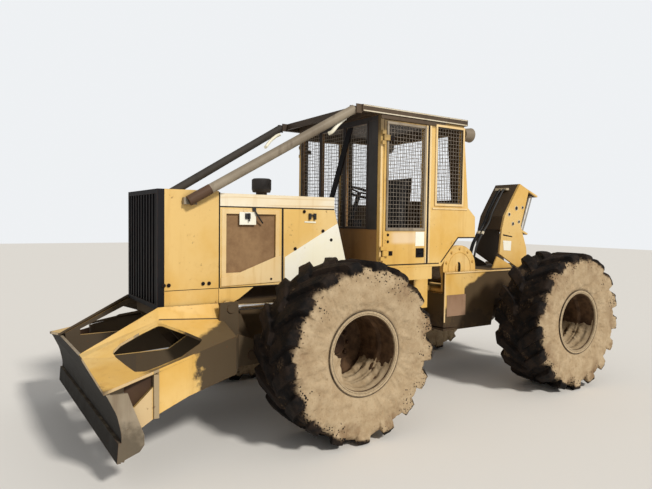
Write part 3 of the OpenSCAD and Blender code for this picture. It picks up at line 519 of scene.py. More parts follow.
def lathe(profile, centre, axis, sides):  # profile of (place along the axis, radius), turned about the axis
    profile = np.asarray(profile, float)
    axis = np.asarray(axis, float) / np.linalg.norm(axis)
    side = np.cross(axis, np.eye(3)[np.argmin(np.abs(axis))])
    side /= np.linalg.norm(side)
    ring = ringPoints(side, np.cross(axis, side), sides)
    points = np.asarray(centre) + profile[:, None, :1] * axis + profile[:, None, 1:] * ring[None]
    return points.reshape(-1, 3), gridFaces(len(profile), sides, roundCols=True)


def disc(profile, x, z, sides):  # a profile turned about a crosswise line at x and z
    return lathe(profile, (x, 0, z), (0, 1, 0), sides)


def bolts(centres, radius, height):  # washer and six-sided head at each centre, looking out to the side
    thick, chamfer = 0.003, 0.85  # the washer's, and the share of the head that stays full
    washer = disc([(0, 0), (0, radius * 1.5), (thick, radius * 1.5), (thick, 0)], 0, 0, 12)
    head = disc([(thick, 0), (thick, radius), (height * chamfer, radius), (height, radius * chamfer),
                 (height, 0)], 0, 0, 6)
    return [(p + np.asarray(c, float), f) for c in centres for p, f in (washer, head)]


def smoothPath(points, count):  # Catmull-Rom curve through the points
    points = np.asarray(points, float)
    padded = np.concatenate([2 * points[:1] - points[1:2], points, 2 * points[-1:] - points[-2:-1]])
    t = np.linspace(0, len(points) - 1 - 1e-9, count)
    i = t.astype(int)
    u = (t - i)[:, None]
    a, b, c, d = padded[i], padded[i + 1], padded[i + 2], padded[i + 3]
    square, cube = 2 * a - 5 * b + 4 * c - d, 3 * b - a - 3 * c + d
    return 0.5 * (2 * b + (c - a) * u + square * u ** 2 + cube * u ** 3)


def ramp(value, low, high):  # 0 at low, 1 at high, straight between
    return np.clip((value - low) / (high - low), 0, 1)


def smooth(t):  # 0 to 1 with level ends
    return t * t * (3 - 2 * t)


def spread(x, y, z):  # a grid's points in one list, from three arrays that broadcast together
    return np.stack(np.broadcast_arrays(x, y, z), -1).reshape(-1, 3)


def lumps(points, size, seed):  # value noise from -1 to 1: random lattice corners, blended inside each cell
    cell = np.floor(points / size).astype(np.int64)
    part = smooth(points / size - cell)
    total = np.zeros(len(points))
    for corner in range(8):
        offset = np.array([corner & 1, corner >> 1 & 1, corner >> 2 & 1])
        key = (cell + offset) @ np.array([73856093, 19349663, 83492791]) + seed * 97531
        key = (key ^ (key >> 13)) * 1274126177
        value = ((key ^ (key >> 16)) & 0xFFFF) / 65535.0
        total += np.prod(np.where(offset == 1, part, 1 - part), axis=1) * value
    return total * 2 - 1


# Tyres. Rows run over the profile from bead to bead, columns run round the wheel and lean along the lugs
tyreLook = dict(lugs=17, top=0.7745, halfWidth=0.295, skin=0.0004, rowsPerHalf=46, sweep=0.8, flank=0.035,
                clods=0.014, middle=1.145)
# profile stations: radius and offset of the carcass, then of the lug's top; below the lugs both are the same
tyreStations = [
    (0.735, 0.0, 0.775, 0.0), (0.734, 0.08, 0.775, 0.08), (0.731, 0.16, 0.775, 0.165),
    (0.722, 0.215, 0.774, 0.232), (0.7, 0.252, 0.768, 0.272), (0.668, 0.276, 0.738, 0.291),
    (0.63, 0.288, 0.69, 0.2945), (0.585, 0.2935, 0.632, 0.2948), (0.54, 0.2945, 0.56, 0.2946)
] + [(radius, out) * 2 for radius, out in (
    (0.49, 0.291), (0.44, 0.284), (0.4, 0.277), (0.378, 0.27), (0.366, 0.262), (0.35, 0.2585),
    (0.3315, 0.25))]


def makeTyre(wheel, ahead, side, look, seed):
    half = smoothPath(tyreStations, look["rowsPerHalf"])
    # radius and offset of the carcass between the lugs, then of the lugs' tops
    floor, floorOut, lug, lugOut = np.concatenate([half[::-1], half[1:]]).T[:, :, None]
    sign = np.repeat([-1.0, 1.0], [len(half), len(half) - 1])[:, None]
    pitch = 2 * math.pi / look["lugs"]
    lean = np.clip(lugOut / look["halfWidth"], 0, 1)
    lean = (1.3 * lean - 0.3 * lean ** 2) * look["sweep"] * pitch
    w = look["flank"]
    halfPitch = np.array([-w, -w * 0.35, w * 0.35, w, 0.085, 0.13, 0.175, 0.22, 0.26, 0.3, 0.345, 0.39, 0.43])
    phase = np.concatenate([halfPitch, halfPitch + 0.5])
    local = np.tile(phase, look["lugs"])
    # 1 on a lug, 0 between lugs; the two halves of the tread are half a pitch apart
    rise = ramp(local, -w, w) * ramp(local, 0.5 + w, 0.5 - w)
    rise = smooth(np.maximum(rise, ramp(local, 1 - w, 1 + w)))
    onLug = np.where(sign > 0, rise, 1 - rise) * ramp(floorOut, 0, 0.014)
    # the lug's middle leads its shoulder at the top of the wheel
    turn = (np.arange(look["lugs"])[:, None] + phase).reshape(1, -1) * pitch - lean
    radius = floor + (lug - floor) * onLug
    out = sign * (floorOut + (lugOut - floorOut) * onLug)
    flat = spread(radius * np.sin(turn), out, radius * np.cos(turn))
    lag = np.clip(-0.85 * np.sin(turn) - 0.35 * np.cos(turn), -0.45, 1)  # the rear low side holds more mud
    packed = ramp(0.757 + 0.075 * lag - radius, 0, 0.085)  # and the sidewall more than the tread
    clod = (lumps(flat, 0.055, seed) * 0.6 + lumps(flat, 0.021, seed + 7) * 0.4).reshape(turn.shape)
    push = clod * look["clods"] * (0.55 + packed) * ramp(floor, 0.37, 0.42)
    filled = np.clip(lumps(flat, 0.13, seed + 3).reshape(turn.shape) + 0.25, 0, 1) * (1 - onLug) * 0.5
    radius = np.minimum(radius + push * (1 - packed) + filled * (lug - floor), look["top"])
    widest = look["halfWidth"] - look["skin"]
    out = np.clip(out + sign * push * packed, -widest, widest)
    worn = ramp(lug, 0.7, 0.76) * onLug  # lug tops rub clean
    mud = 0.35 + 0.5 * packed + 0.25 * filled - 0.24 * worn
    points = spread(ahead * axleX + radius * np.sin(turn), side * (look["middle"] + out),
                    axleZ + radius * np.cos(turn))
    faces = gridFaces(*turn.shape, roundRows=True, roundCols=True)  # the inner bead closes on the outer one
    if side < 0:  # on the right side the same grid looks inwards
        faces = faces[:, ::-1]
    tyre = makePiece("tread_" + wheel, "wheel_" + wheel, tyreMud, [(points, faces)],
                     smoothAngle=50.0, mud=mud.ravel())
    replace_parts(tyre, "tyre_" + wheel)


# Mud packed in the rim's dish. Stations are turns round the wheel in degrees, 0 at the front and -90 at the
# bottom, with the mud's depth over the barrel there; below zero it stays hidden in the rim's wall
mudLook = dict(
    front=[(-165, -0.012), (-150, 0.004), (-128, 0.012), (-100, 0.02), (-72, 0.03), (-50, 0.07), (-34, 0.135),
           (-14, 0.14), (4, 0.085), (16, 0.02), (26, -0.012)],
    rear=[(-178, -0.012), (-162, 0.004), (-140, 0.016), (-110, 0.022), (-80, 0.014), (-60, 0.006),
          (-44, -0.012)],
    rows=48, cols=170, barrel=0.3175, lip=1.392, depth=0.4, ridges=3.6, ridgeHeight=0.011)


def makeMudBank(wheel, ahead, side, look, seed):
    degrees, depths = np.array(look["front" if ahead > 0 else "rear"]).T
    turn = np.radians(np.linspace(degrees[0], degrees[-1], look["cols"]))[None, :]
    t = np.linspace(0, 1, look["rows"])[:, None]
    height = np.interp(np.degrees(turn), degrees, depths)
    rise = smooth(ramp(t, 0, 0.24))
    grain = spread(np.cos(turn) * 0.3, t * look["depth"], np.sin(turn) * 0.3)
    clod = lumps(grain, 0.06, seed) * 0.6 + lumps(grain, 0.022, seed + 5) * 0.4
    clod = clod.reshape(look["rows"], look["cols"])
    ridge = np.sin(t * look["ridges"] * 2 * math.pi) * look["ridgeHeight"] * ramp(height, 0, 0.01)
    thick = height * rise * (1 + 0.3 * clod) + rise * (ridge + clod * 0.009)
    radius = look["barrel"] - np.maximum(thick, -0.006) - 0.018 * ramp(t, 0.42, 0.45)
    points = spread(ahead * axleX + radius * np.cos(turn), side * (look["lip"] - t * look["depth"]),
                    axleZ + radius * np.sin(turn))
    makePiece("rim_mud_" + wheel, "wheel_" + wheel, mudPaint,
              [(points, gridFaces(look["rows"], look["cols"]))], smoothAngle=60.0)


for seed, (wheel, ahead, side) in enumerate(wheels):
    makeTyre(wheel, ahead, side, tyreLook, seed * 11 + 5)
    makeMudBank(wheel, ahead, side, mudLook, seed * 7 + 2)
print("tyres moulded")


def rimFrame(low, high, width, y0, y1):  # a flat frame outside a rectangle in x and z, from y0 to y1
    inner = np.array([(low[0], low[1]), (high[0], low[1]), (high[0], high[1]), (low[0], high[1])])
    outer = inner + np.array([(-1, -1), (1, -1), (1, 1), (-1, 1)]) * width
    rings = [np.stack([r[:, 0], np.full(4, y), r[:, 1]], -1)
             for r, y in ((inner, y0), (outer, y0), (outer, y1), (inner, y1))]
    return np.concatenate(rings), gridFaces(4, 4, roundRows=True, roundCols=True)


def grown(low, high, by):  # a rectangle made larger on every side
    return (low[0] - by, low[1] - by), (high[0] + by, high[1] + by)


def toFront(parts, x):  # parts drawn as (across, out, up) on the side, turned to face forward from x
    return [(np.stack([x + p[:, 1], p[:, 0], p[:, 2]], -1), f) for p, f in parts]


def wovenScreen(low, high, pitch, radius, y):  # wires both ways; each weaves by a cosine through the rest
    low, high = np.asarray(low, float), np.asarray(high, float)
    counts = np.maximum(2, np.round((high - low) / pitch).astype(int))
    parts = []
    for along in (0, 1):
        across = 1 - along
        t = np.arange(2 * counts[along] + 1) / 2.0
        for i in range(1, counts[across]):
            path = np.zeros((len(t), 3))
            path[:, 2 * along] = low[along] + t / counts[along] * (high - low)[along]
            path[:, 2 * across] = low[across] + i / counts[across] * (high - low)[across]
            path[:, 1] = y + (1 if along else -1) * radius * np.cos(math.pi * (t + i))
            parts.append(tube(path, radius, 5))
    return parts


def plainShader(name, colour, rough, metallic=0.0):
    s = Shader(name)
    mid = s.noise(14.0, 5.0)
    base = s.mix(mid.ease(0.3, 0.7), colour, tuple(c * 1.5 for c in colour))
    return s.finish(base, rough, s.bump(mid, 0.2, 0.002), metallic=metallic)


def perforated():  # brown sheet with rows of small holes, worn unevenly
    s = Shader("screenBrown")
    big, mid = s.noise(3.0, 5.0), s.noise(16.0, 5.0, 0.6)
    base = s.mix((big * 0.6 + mid * 0.4).ease(0.35, 0.65), (0.235, 0.135, 0.068), (0.36, 0.225, 0.115))
    holes = ((s.axis("X") * 520.0).sine() * (s.axis("Z") * 520.0).sine()).ease(0.1, 0.7)
    base = s.mix(holes * 0.45, base, (0.06, 0.035, 0.02))
    return s.finish(base, 0.8, s.bump(holes * -1.0 + mid * 0.5, 0.3, 0.002), specular=0.2)


gapBlack = plainShader("gapBlack", (0.012, 0.009, 0.007), 0.9)
hoseBlack = plainShader("hoseBlack", (0.014, 0.014, 0.015), 0.55)
lampGlass = plainShader("lampGlass", (0.55, 0.56, 0.55), 0.08)
paleYellow = paint("paleYellow", colour=(0.8, 0.55, 0.24), faded=(0.86, 0.66, 0.36), chips=0.5, runs=0.3,
                   grime=0.45)
rustPaint = paint("rustPlate", colour=(0.26, 0.15, 0.085), faded=(0.36, 0.23, 0.15), deep=(0.14, 0.07, 0.035),
                  dustColour=(0.42, 0.33, 0.2), dust=0.5)
sleevePaint = paint("sleeveRust", colour=(0.06, 0.034, 0.022), faded=(0.11, 0.065, 0.042),
                    deep=(0.022, 0.014, 0.01), dustColour=(0.22, 0.15, 0.1), dust=0.5, shine=0.15)
edgeSteel = paint("edgeWorn", colour=(0.62, 0.53, 0.36), faded=(0.72, 0.66, 0.52), deep=(0.32, 0.2, 0.08),
                  chips=0.9, grime=0.5)
screenBrown = perforated()

# Engine cover: plates, seams and fittings lie on the model's faces
coverY = 0.455
addTrim("door_frames", "front", paleYellow,
        [rimFrame((1.852, 1.402), (2.347, 1.928), 0.042, 0, 0.004)], 0.0015, coverY)
addTrim("door_sheets", "front", screenBrown,
        [block((1.851, -0.024, 1.401), (2.349, -0.018, 1.929))], y=coverY)
frontSkirt = [(2.31, 1.368), (1.842, 1.538), (1.796, 1.546), (1.796, 1.3), (2.395, 1.284), (2.395, 1.365)]
addTrim("front_skirts", "front", paleYellow, [sideSlab(0.0045, 0.009, *frontSkirt)],
        0.001, coverY)
addTrim("rear_skirts", "front", palePlate, [sideSlab(
    0.001, 0.006, (1.753, 1.528), (1.152, 1.852), (0.998, 1.296), (1.753, 1.296))], 0.001, coverY)
riserFoot = np.array([2.708, 0.5, 2.028])
riserRun = np.array([1.16, 0.716, 2.945]) - riserFoot
sleeve = riserFoot + riserRun * np.linspace(0, 0.118, 3)[:, None]
addTrim("riser_sleeves", "front", sleevePaint, [
    tube(sleeve, 0.0455, 20),
    lathe([(-0.003, 0.0), (-0.003, 0.034), (0.0, 0.043), (0.004, 0.0455)], riserFoot, riserRun, 20)])
# painted shade: a dark disc inside the riser's open end
addTrim("riser_holes", "front", gapBlack, [
    lathe([(-0.0045, 0.0), (-0.0045, 0.026), (-0.002, 0.028)], riserFoot, riserRun, 20)])
addTrim("seams", "front", gapBlack, [
    sideSlab(-0.003, 0.0015, (2.404, 1.272), (2.416, 1.272), (2.418, 2.116), (2.406, 2.116)),
    sideSlab(-0.003, 0.0015, (1.762, 1.29), (1.785, 1.29), (1.788, 1.984), (1.769, 1.984)),
    sideSlab(-0.003, 0.0012, (2.405, 1.264), (0.99, 1.264), (0.987, 1.274), (2.405, 1.274)),
    block((2.419, 0, 1.268), (2.897, 0.0012, 1.273)),
    block((1.19, -0.003, 1.984), (2.405, 0.0015, 1.995))], y=coverY)
hook = [(2.078, 0.012, 1.972), (2.062, 0.022, 1.936), (2.03, 0.024, 1.888), (1.992, 0.012, 1.846)]
addTrim("latches", "front", hoseBlack, [
    block((2.118, 0.009, 1.884), (2.17, 0.02, 1.934)),
    block((2.128, 0.018, 1.862), (2.14, 0.028, 1.936)),
    tube(smoothPath(hook, 12), 0.0075, 8),
    block((2.062, 0.001, 1.955), (2.095, 0.016, 1.985)),
    block((1.47, 0.001, 1.886), (1.492, 0.02, 1.946)),
    block((1.412, 0.001, 1.886), (1.436, 0.02, 1.946)),
    block((1.424, 0.014, 1.922), (1.486, 0.022, 1.936))], 0.002, coverY)
addTrim("latch_plates", "front", palePlate, [
    block((2.059, 0.0045, 1.831), (2.223, 0.009, 1.946)),
    sideSlab(0.001, 0.005, (1.539, 1.856), (1.408, 1.852), (1.408, 1.868), (1.539, 1.87))], 0.001, coverY)
coverBolts = [(2.905, 1.318), (2.864, 1.318), (2.562, 1.318), (2.507, 1.318), (1.64, 1.606), (1.325, 1.776),
              (1.228, 1.687), (1.543, 1.962), (1.9, 1.33)]
addTrim("cover_bolts", "front", blackPaint,
        bolts([(x, 0.005, z) for x, z in coverBolts], 0.011, 0.01), y=coverY)
print("engine cover trimmed")

# Cab: screens, window rims, hinges, handles, header and roof edges. A window is its low and high corner;
# a screen's edge strip reaches edgeHalf to either side of its wires
cabY, roofZ = 0.772, 2.925
screenLook = dict(pitch=0.04, wire=0.0023, edge=0.006, edgeHalf=0.004, inset=0.008)
screenWire = plainShader("screenWire", (0.22, 0.19, 0.16), 0.5, metallic=0.3)
doorWindow = ((0.2905, 1.8105), (0.7695, 2.8395))
sideWindow = ((-0.2615, 2.0805), (0.1045, 2.8695))
rearWindow = ((-0.5595, 2.1205), (0.5595, 2.8395))
lowZ, topZ = 1.8155, roofZ - 0.0655
frontSpans = [(-0.6995, -0.3205), (-0.2795, 0.1495), (0.1905, 0.5595)]
frontWindows = [((y0, lowZ), (y1, topZ)) for y0, y1 in frontSpans]


def screenAt(low, high, look, y=0.0):
    width, half = look["edge"], look["edgeHalf"]
    edge = rimFrame(*grown(low, high, -width), width, y - half, y + half)
    return wovenScreen(low, high, look["pitch"], look["wire"], y) + [edge]


pull = [(0.3, 0.004, 1.572), (0.302, 0.022, 1.572), (0.33, 0.026, 1.566), (0.362, 0.024, 1.56)]
straps = [part for z in (1.56, 2.7) for part in
          [block((0.7, 0, z - 0.022), (0.769, 0.006, z + 0.022))]
          + bolts([(0.716, 0.006, z), (0.75, 0.006, z)], 0.008, 0.008)]
doorTrim = dict(  # material, slot, parts and bevel of each piece, which rides on its door
    door_rim=(tubePaint, "worn_tube", [rimFrame(*doorWindow, 0.024, 0, 0.011)], 0.002),
    door_edge=(paleYellow, "machine_yellow", [block((0.2415, 0, 1.449), (0.26, 0.003, 2.875))], 0.001),
    door_blank=(palePlate, "rail_cream", [block((0.268, 0, 1.628), (0.392, 0.0015, 1.776))], 0.0),
    door_handle=(blackPaint, "guard_black", [
        block((0.276, 0, 1.512), (0.384, 0.004, 1.606)),
        rimFrame((0.286, 1.522), (0.374, 1.596), 0.008, 0, 0.01),
        tube(pull, 0.007, 8)] + bolts([(0.759, 0, 1.744), (0.759, 0, 1.676)], 0.01, 0.01), 0.0015),
    door_straps=(blackPaint, "guard_black", straps, 0.002))
wallTrim = dict(  # the same for the cab's walls
    quarter_seal=(gapBlack, "guard_black", [rimFrame(*sideWindow, 0.006, 0, 0.009)], 0.0),
    quarter_rim=(paleYellow, "machine_yellow", [
        rimFrame(*grown(*sideWindow, 0.0065), 0.024, 0, 0.012),
        block((-0.36, 0, 2.012), (0.166, 0.008, 2.03)),
        block((0.846, 0, 1.452), (0.869, 0.004, 2.64)),
        block((0.19, 0, 1.452), (0.214, 0.003, 2.878))], 0.0015),
    wall_gaps=(gapBlack, "guard_black", [
        block((0.2165, 0, 1.44), (0.24, 0.002, 2.878)),
        block((0.05, -0.004, 1.436), (0.86, 0.0015, 1.446)),
        # painted shadow line along the wall's lower rear edge
        sideSlab(-0.03, 0.0015, (-0.5005, 1.704), (-0.2325, 1.704), (0.016, 1.446), (0.029, 1.452),
                 (-0.227, 1.718), (-0.5005, 1.718))], 0.0))
for sideName, turn in (("left", list), ("right", mirrored)):
    screen = addTrim("door_mesh_" + sideName, "door_" + sideName, screenWire,
                     screenAt(*doorWindow, screenLook), y=cabY - screenLook["inset"], turn=turn)
    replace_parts(screen, "door_screen_" + sideName)
    for trim, body in ((doorTrim, "door_" + sideName), (wallTrim, "front")):
        for name, (material, slot, parts, bevel) in trim.items():
            addTrim(name + "_" + sideName, body, material, parts, bevel, cabY, turn)

frontMesh = toFront([part for window in frontWindows for part in screenAt(*window, screenLook)], 0.862)
sideMesh = screenAt(*sideWindow, screenLook, cabY - screenLook["inset"])
rearMesh = toFront(screenAt(*rearWindow, screenLook), 0.0)
rearX, rearLean = -0.273, 0.1037  # the rear wall's place under the roof, and its slope
rearMesh = [(p + spread(rearX - (roofZ - p[:, 2]) * rearLean, 0, 0), f) for p, f in rearMesh]
cabMesh = frontMesh + bothSides(sideMesh) + rearMesh
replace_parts(makePiece("cab_mesh", "front", screenWire, cabMesh), "cab_screens")
frontFrames = [rimFrame(*window, 0.017, 0.0, 0.008) for window in frontWindows]
postTop = topZ + 0.016
frontPosts = [block((y0, 0.0, 1.795), (y1, 0.003, postTop))
              for y0, y1 in ((-0.731, -0.716), (-0.304, -0.296), (0.166, 0.174), (0.577, 0.731))]
frontHead = [block((-0.731, 0.0, postTop), (0.731, 0.003, 2.921))]
frontParts = toFront(frontFrames + frontPosts + frontHead, 0.87)
makePiece("front_frames", "front", stackPaint, frontParts, 0.0015)
makePiece("front_brace", "front", blackPaint, toFront([sideSlab(
    0, 0.012, (0.33, 2.85), (0.238, 2.85), (-0.115, 2.08), (-0.023, 2.08))], 0.878), 0.002)
addTrim("header", "front", darkPaint, [block((0, 0, 2.884), (0.868, 0.007, 2.922))],
        0.0015, cabY)
addTrim("roof_edges", "front", edgeSteel,
        [block((-0.32, 0.786, z), (1.098, 0.79, z + 0.012)) for z in (2.926, 2.976)], 0.0015)
grab = [(1.396, 0.64, 2.7), (1.372, 0.664, 2.716), (1.318, 0.672, 2.78), (1.25, 0.664, 2.838),
        (1.206, 0.64, 2.862)]
addTrim("grab_rail", "front", palePlate, [tube(smoothPath(grab, 18), 0.018, 12)])
lens = [(0.0, 0.0), (-0.004, 0.03), (-0.001, 0.056), (0.004, 0.07), (0.006, 0.07)]
addTrim("lamp_lenses", "front", lampGlass, [lathe(lens, (-0.472, 0.69, 2.85), (1, 0, 0), 28)])
print("cab trimmed")

# Rear: arch holes, winch covers, rope on the drum, frame plates
archY, winchY, frameY = 0.205, 0.35, 0.385
winchX, winchZ = -0.716, 1.33
archHoles = [(-1.927, 2.077, 0.024), (-2.055, 2.089, 0.017), (-1.783, 1.993, 0.019), (-1.864, 1.87, 0.019),
             (-1.986, 1.897, 0.017)]
# painted shade: dark discs and a slot where the arch plate has holes
addTrim("arch_holes", "rear", gapBlack, [
    disc([(0.0, 0.0), (0.0012, 0.0), (0.0012, r), (-0.002, r)], x, z, 20) for x, z, r in archHoles
] + [sideSlab(0, 0.0015, (-1.668, 1.732), (-1.672, 1.712), (-1.858, 1.69), (-1.858, 1.704))], y=archY)
addTrim("arch_rings", "rear", edgeSteel, [
    disc([(0, r), (0.004, r + 0.001), (0.004, r + 0.007), (0, r + 0.009)], x, z, 20) for x, z, r in archHoles
], y=archY)
addTrim("arch_blanks", "rear", palePlate, [sideSlab(
    0, 0.0015, (-1.672, 1.65), (-1.84, 1.64), (-1.832, 1.512), (-1.69, 1.52))], y=archY)


def around(x, z, radius, y, first=0.0):  # ten places on a circle round a crosswise line at x and z
    turn = np.arange(10) * math.pi / 5 + first
    return spread(x + radius * np.cos(turn), y, z + radius * np.sin(turn))


addTrim("winch_bolts", "rear", yellowPaint, [
    *bolts(around(winchX, winchZ, 0.232, 0, 0.3), 0.013, 0.012),
    disc([(0.0, 0.075), (0.006, 0.072), (0.01, 0.06), (0.01, 0.0)], winchX, winchZ, 32),
    disc([(0.0, 0.196), (0.004, 0.194), (0.004, 0.184), (0.0, 0.182)], winchX, winchZ, 40)], y=winchY)
handle = [(-0.69, 0.006, 1.268), (-0.69, 0.024, 1.3), (-0.691, 0.024, 1.372), (-0.692, 0.006, 1.398)]
addTrim("winch_handle", "rear", gapBlack, [tube(smoothPath(handle, 14), 0.011, 8)], y=winchY)
ropeSteel = steel("ropeSteel", dict(colour=(0.3, 0.26, 0.22), worn=(0.45, 0.41, 0.36), grain=(1.0, 0.3, 1.0),
                                    dirtAndShade=0.8, dirtAndShadeColour=(0.09, 0.06, 0.035), rough=0.45))
ropeLook = dict(turns=23, steps=30, radius=0.2015, width=0.516, thick=0.0108)


def makeRope(look):  # a helix: circle round the drum's axle, moving evenly across it
    turn = np.linspace(0, look["turns"] * 2 * math.pi, look["turns"] * look["steps"] + 1)
    path = spread(winchX + look["radius"] * np.sin(turn), (turn / turn[-1] - 0.5) * look["width"],
                  winchZ + look["radius"] * np.cos(turn))
    makePiece("winch_rope", "drum", ropeSteel, [tube(path, look["thick"], 7)])


makeRope(ropeLook)
addTrim("rear_plates", "rear", rustPaint, [block((-0.79, 0, 0.765), (-0.478, 0.006, 1.018))],
        0.001, frameY)
addTrim("rear_flanges", "rear", paleYellow, [
    block((-0.449, 0, 0.7), (-0.431, 0.008, 1.288)),
    block((-2.195, 0, 1.274), (-0.45, 0.012, 1.289))], 0.001, frameY)
print("rear trimmed")

# Seat: a ribbed pedestal, a pan and two cushions. channel gives the sewn lines: the axis that they are
# counted along, their places, the axis that the face looks along, and where the face begins
seatLook = dict(round=0.02, voxel=0.006, pressure=4.0, cap=0.024, frames=20, welt=0.0042, weltRound=1.36,
                channelWidth=0.01, channelDepth=0.007, channelFade=0.03)
cushionShapes = dict(
    seat_cushion=dict(outline=[(0.14, 1.662), (0.58, 1.662), (0.584, 1.722), (0.556, 1.738), (0.15, 1.728)],
                      sides=(-0.152, 0.312), channel=(0, (0.25, 0.4), 2, 1.69),
                      welts=[(0.14, 0.584, 1.724), (0.142, 0.58, 1.668)]),
    seat_back=dict(outline=[(0.102, 1.778), (0.178, 1.778), (0.182, 1.9), (0.122, 2.346), (0.062, 2.356)],
                   sides=(-0.134, 0.294), channel=(2, (1.93, 2.14), 0, 0.085), welts=[]))


def bake(piece):  # the piece's modifiers become its mesh; its points come back
    mesh = bpy.data.meshes.new_from_object(piece.evaluated_get(bpy.context.evaluated_depsgraph_get()))
    piece.modifiers.clear()
    piece.data = mesh
    return np.array([point.co for point in mesh.vertices])


def swell(piece, look):  # pressure blows the cloth up from its start; no point moves further than the cap
    cloth = piece.modifiers.new("cloth", "CLOTH")
    cloth.settings.use_pressure = True
    cloth.settings.uniform_pressure_force = look["pressure"]
    cloth.settings.effector_weights.gravity = 0.0
    cloth.point_cache.frame_start, cloth.point_cache.frame_end = 1, look["frames"]
    start = np.array([point.co for point in piece.data.vertices])
    for step in range(1, look["frames"] + 1):
        bpy.context.scene.frame_set(step)
    move = bake(piece) - start
    bpy.context.scene.frame_set(1)
    length = np.maximum(np.linalg.norm(move, axis=1, keepdims=True), 1e-9)
    return start + move * np.minimum(1.0, look["cap"] / length)


def makeCushion(name, shape, look):
    piece = makePiece(name, "front", seatBlack, [sideSlab(*shape["sides"], *shape["outline"])])
    rounder = piece.modifiers.new("round", "BEVEL")
    rounder.width, rounder.segments = look["round"], 3
    remesher = piece.modifiers.new("remesh", "REMESH")
    remesher.mode, remesher.voxel_size = "VOXEL", look["voxel"]
    points = bake(piece)
    points = swell(piece, look)
    along, places, face, begin = shape["channel"]
    for at in places:  # depth * exp(-(distance / width) squared), on the face only
        near = np.exp(-((points[:, along] - shift[along] - at) / look["channelWidth"]) ** 2)
        on = ramp(points[:, face] - shift[face] - begin, 0, look["channelFade"])
        points[:, face] -= near * on * look["channelDepth"]
    piece.data.vertices.foreach_set("co", points.astype(np.float32).ravel())
    piece.data.update()
    piece.data.shade_smooth()
    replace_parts(piece, "seat")
    return piece


def makeWelts(name, cushion, shape, look):  # piped seams: each loop is drawn onto the cushion's surface
    surface = BVHTree.FromPolygons([point.co for point in cushion.data.vertices],
                                   [face.vertices for face in cushion.data.polygons])
    turn = np.linspace(0, 2 * math.pi, 181) + 0.1  # the loop's ends meet on a straight side
    # a rounded rectangle from -1 to 1: cosine and sine stretched and cut off
    across, sideways = (np.clip(wave * look["weltRound"], -1, 1) for wave in (np.cos(turn), np.sin(turn)))
    y0, y1 = shape["sides"]
    parts = []
    for x0, x1, z in shape["welts"]:
        loop = spread((x0 + x1 + across * (x1 - x0)) / 2, (y0 + y1 + sideways * (y1 - y0)) / 2, z) + shift
        spots = np.array([surface.find_nearest(Vector(point))[0] for point in loop]) - shift
        parts.append(tube(spots, look["welt"], 8))
    makePiece(name, "front", seatBlack, parts)


ribZ = 1.462 + 0.0195 * np.arange(8)  # seven ribs, every second one set in
ribs = [block((0.2 + inset, -0.04 + inset, ribZ[i]), (0.42 - inset, 0.22 - inset, ribZ[i + 1]))
        for i, inset in enumerate([0.0, 0.014] * 3 + [0.0])]
seatBase = dict(
    seat_pedestal=([block((0.185, -0.055, 1.4425), (0.435, 0.235, 1.462)),
                    block((0.185, -0.055, 1.598), (0.435, 0.235, 1.6195))] + ribs, 0.003),
    seat_pan=([block((0.15, -0.14, 1.6205), (0.57, 0.3, 1.646)),
               sideSlab(-0.13, 0.29, (0.064, 1.762), (0.078, 1.762), (0.03, 2.372), (0.016, 2.372)),
               sideSlab(0.02, 0.14, (0.122, 1.625), (0.16, 1.625), (0.1, 1.8), (0.068, 1.8))], 0.004))
for name, (parts, bevel) in seatBase.items():
    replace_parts(makePiece(name, "front", darkPaint, parts, bevel), "seat")
for name, shape in cushionShapes.items():
    cushion = makeCushion(name, shape, seatLook)
    if shape["welts"]:
        makeWelts(name + "_welts", cushion, shape, seatLook)
print("seat stuffed")

# Hydraulic pipes up the arch's front web, wheel nuts, hub caps, and stiffeners behind the blade's ends
pipeRun = [(-1.352, 1.292), (-1.362, 1.4), (-1.41, 1.58), (-1.52, 1.745), (-1.632, 1.88), (-1.7, 2.02),
           (-1.812, 2.19), (-1.915, 2.335)]
pipes, fittings = [], [block((-1.945, -0.125, 2.322), (-1.885, 0.065, 2.352))]
for dx, y in ((0.0, -0.09), (0.02, -0.045), (0.04, 0.03)):  # each pipe is a little further forward
    pipes.append(tube(smoothPath([(x + dx, y, z) for x, z in pipeRun], 60), 0.013, 10))
    fittings.append(lathe([(0, 0), (0, 0.019), (0.03, 0.019), (0.034, 0.015), (0.06, 0.015), (0.06, 0)],
                          (-1.352 + dx, y, 1.2905), (0, 0, 1), 6))
    fittings.append(lathe([(-0.02, 0), (-0.02, 0.018), (0.02, 0.018), (0.02, 0)],
                          (-1.52 + dx, y, 1.745), (-0.55, 0, 0.83), 6))
makePiece("arch_pipes", "rear", hoseBlack, pipes)
makePiece("arch_fittings", "rear", edgeSteel, fittings, 0.002)
hubCap = [(0.9905, 0.0), (0.9905, 0.084), (1.0, 0.08), (1.004, 0.066), (1.004, 0.02), (1.014, 0.018),
          (1.014, 0.0)]
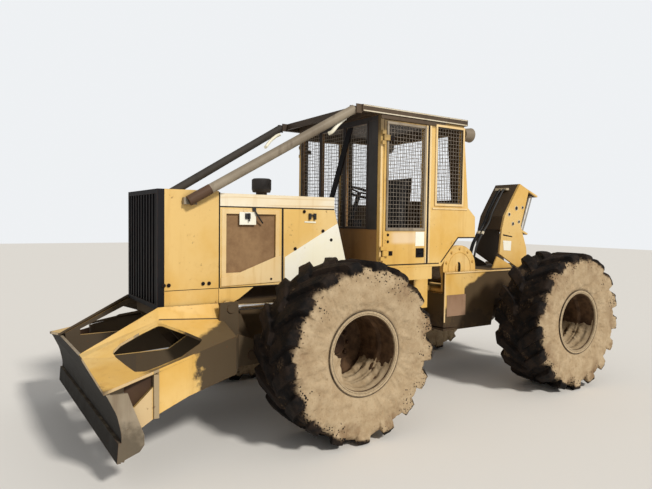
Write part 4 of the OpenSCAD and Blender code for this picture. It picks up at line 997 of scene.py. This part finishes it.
for wheel, ahead, side in wheels:
    x = ahead * axleX
    nuts = bolts(around(x, axleZ, 0.142, 0.95), 0.017, 0.024)
    addTrim("wheel_nuts_" + wheel, "wheel_" + wheel, sleevePaint,
            nuts + [disc(hubCap, x, axleZ, 32)], turn=list if side > 0 else mirrored)
addTrim("arm_webs", "push_blade", sleevePaint, [sideSlab(
    1.078, 1.086, (3.19, 0.56), (3.34, 0.54), (3.385, 0.64), (3.385, 0.7), (3.19, 0.745))])
print("fittings bolted on")


# Pale floor and backdrop colour, soft key light, sky fill
stageLook = dict(floor=(0.8, 0.79, 0.77), reach=40.0, sky=(0.86, 0.88, 0.9), fill=0.42,
                 fillColour=(1.0, 0.985, 0.96), sun=2.55, sunColour=(1.0, 0.95, 0.87),
                 sunTurn=(-52.0, 0.0, 12.0), soft=8.0)


def setStage(look):
    floor = addObject("floor", bpy.data.meshes.new("floor"))
    corners = [(x * look["reach"], y * look["reach"], 0) for x, y in ((-1, -1), (1, -1), (1, 1), (-1, 1))]
    floor.data.from_pydata(corners, [], [(0, 1, 2, 3)])
    floor.data.materials.append(Shader("floorPale").finish(look["floor"], 0.9, specular=0.1))
    world = bpy.data.worlds.new("sky")
    bpy.context.scene.world = world
    world.use_nodes = True
    tree = world.node_tree
    tree.nodes.clear()
    blend, out = tree.nodes.new("ShaderNodeMixShader"), tree.nodes.new("ShaderNodeOutputWorld")
    for socket, colour, strength in ((1, look["fillColour"], look["fill"]), (2, look["sky"], 1.0)):
        light = tree.nodes.new("ShaderNodeBackground")
        light.inputs["Color"].default_value = (*colour, 1.0)
        light.inputs["Strength"].default_value = strength
        tree.links.new(light.outputs[0], blend.inputs[socket])
    tree.links.new(tree.nodes.new("ShaderNodeLightPath").outputs["Is Camera Ray"], blend.inputs[0])
    tree.links.new(blend.outputs[0], out.inputs[0])
    sun = addObject("key", bpy.data.lights.new("key", "SUN"))
    sun.data.energy = look["sun"]
    sun.data.angle = math.radians(look["soft"])
    sun.data.color = look["sunColour"]
    sun.rotation_euler = [math.radians(a) for a in look["sunTurn"]]


setStage(stageLook)
bpy.context.scene.view_settings.view_transform = "Standard"
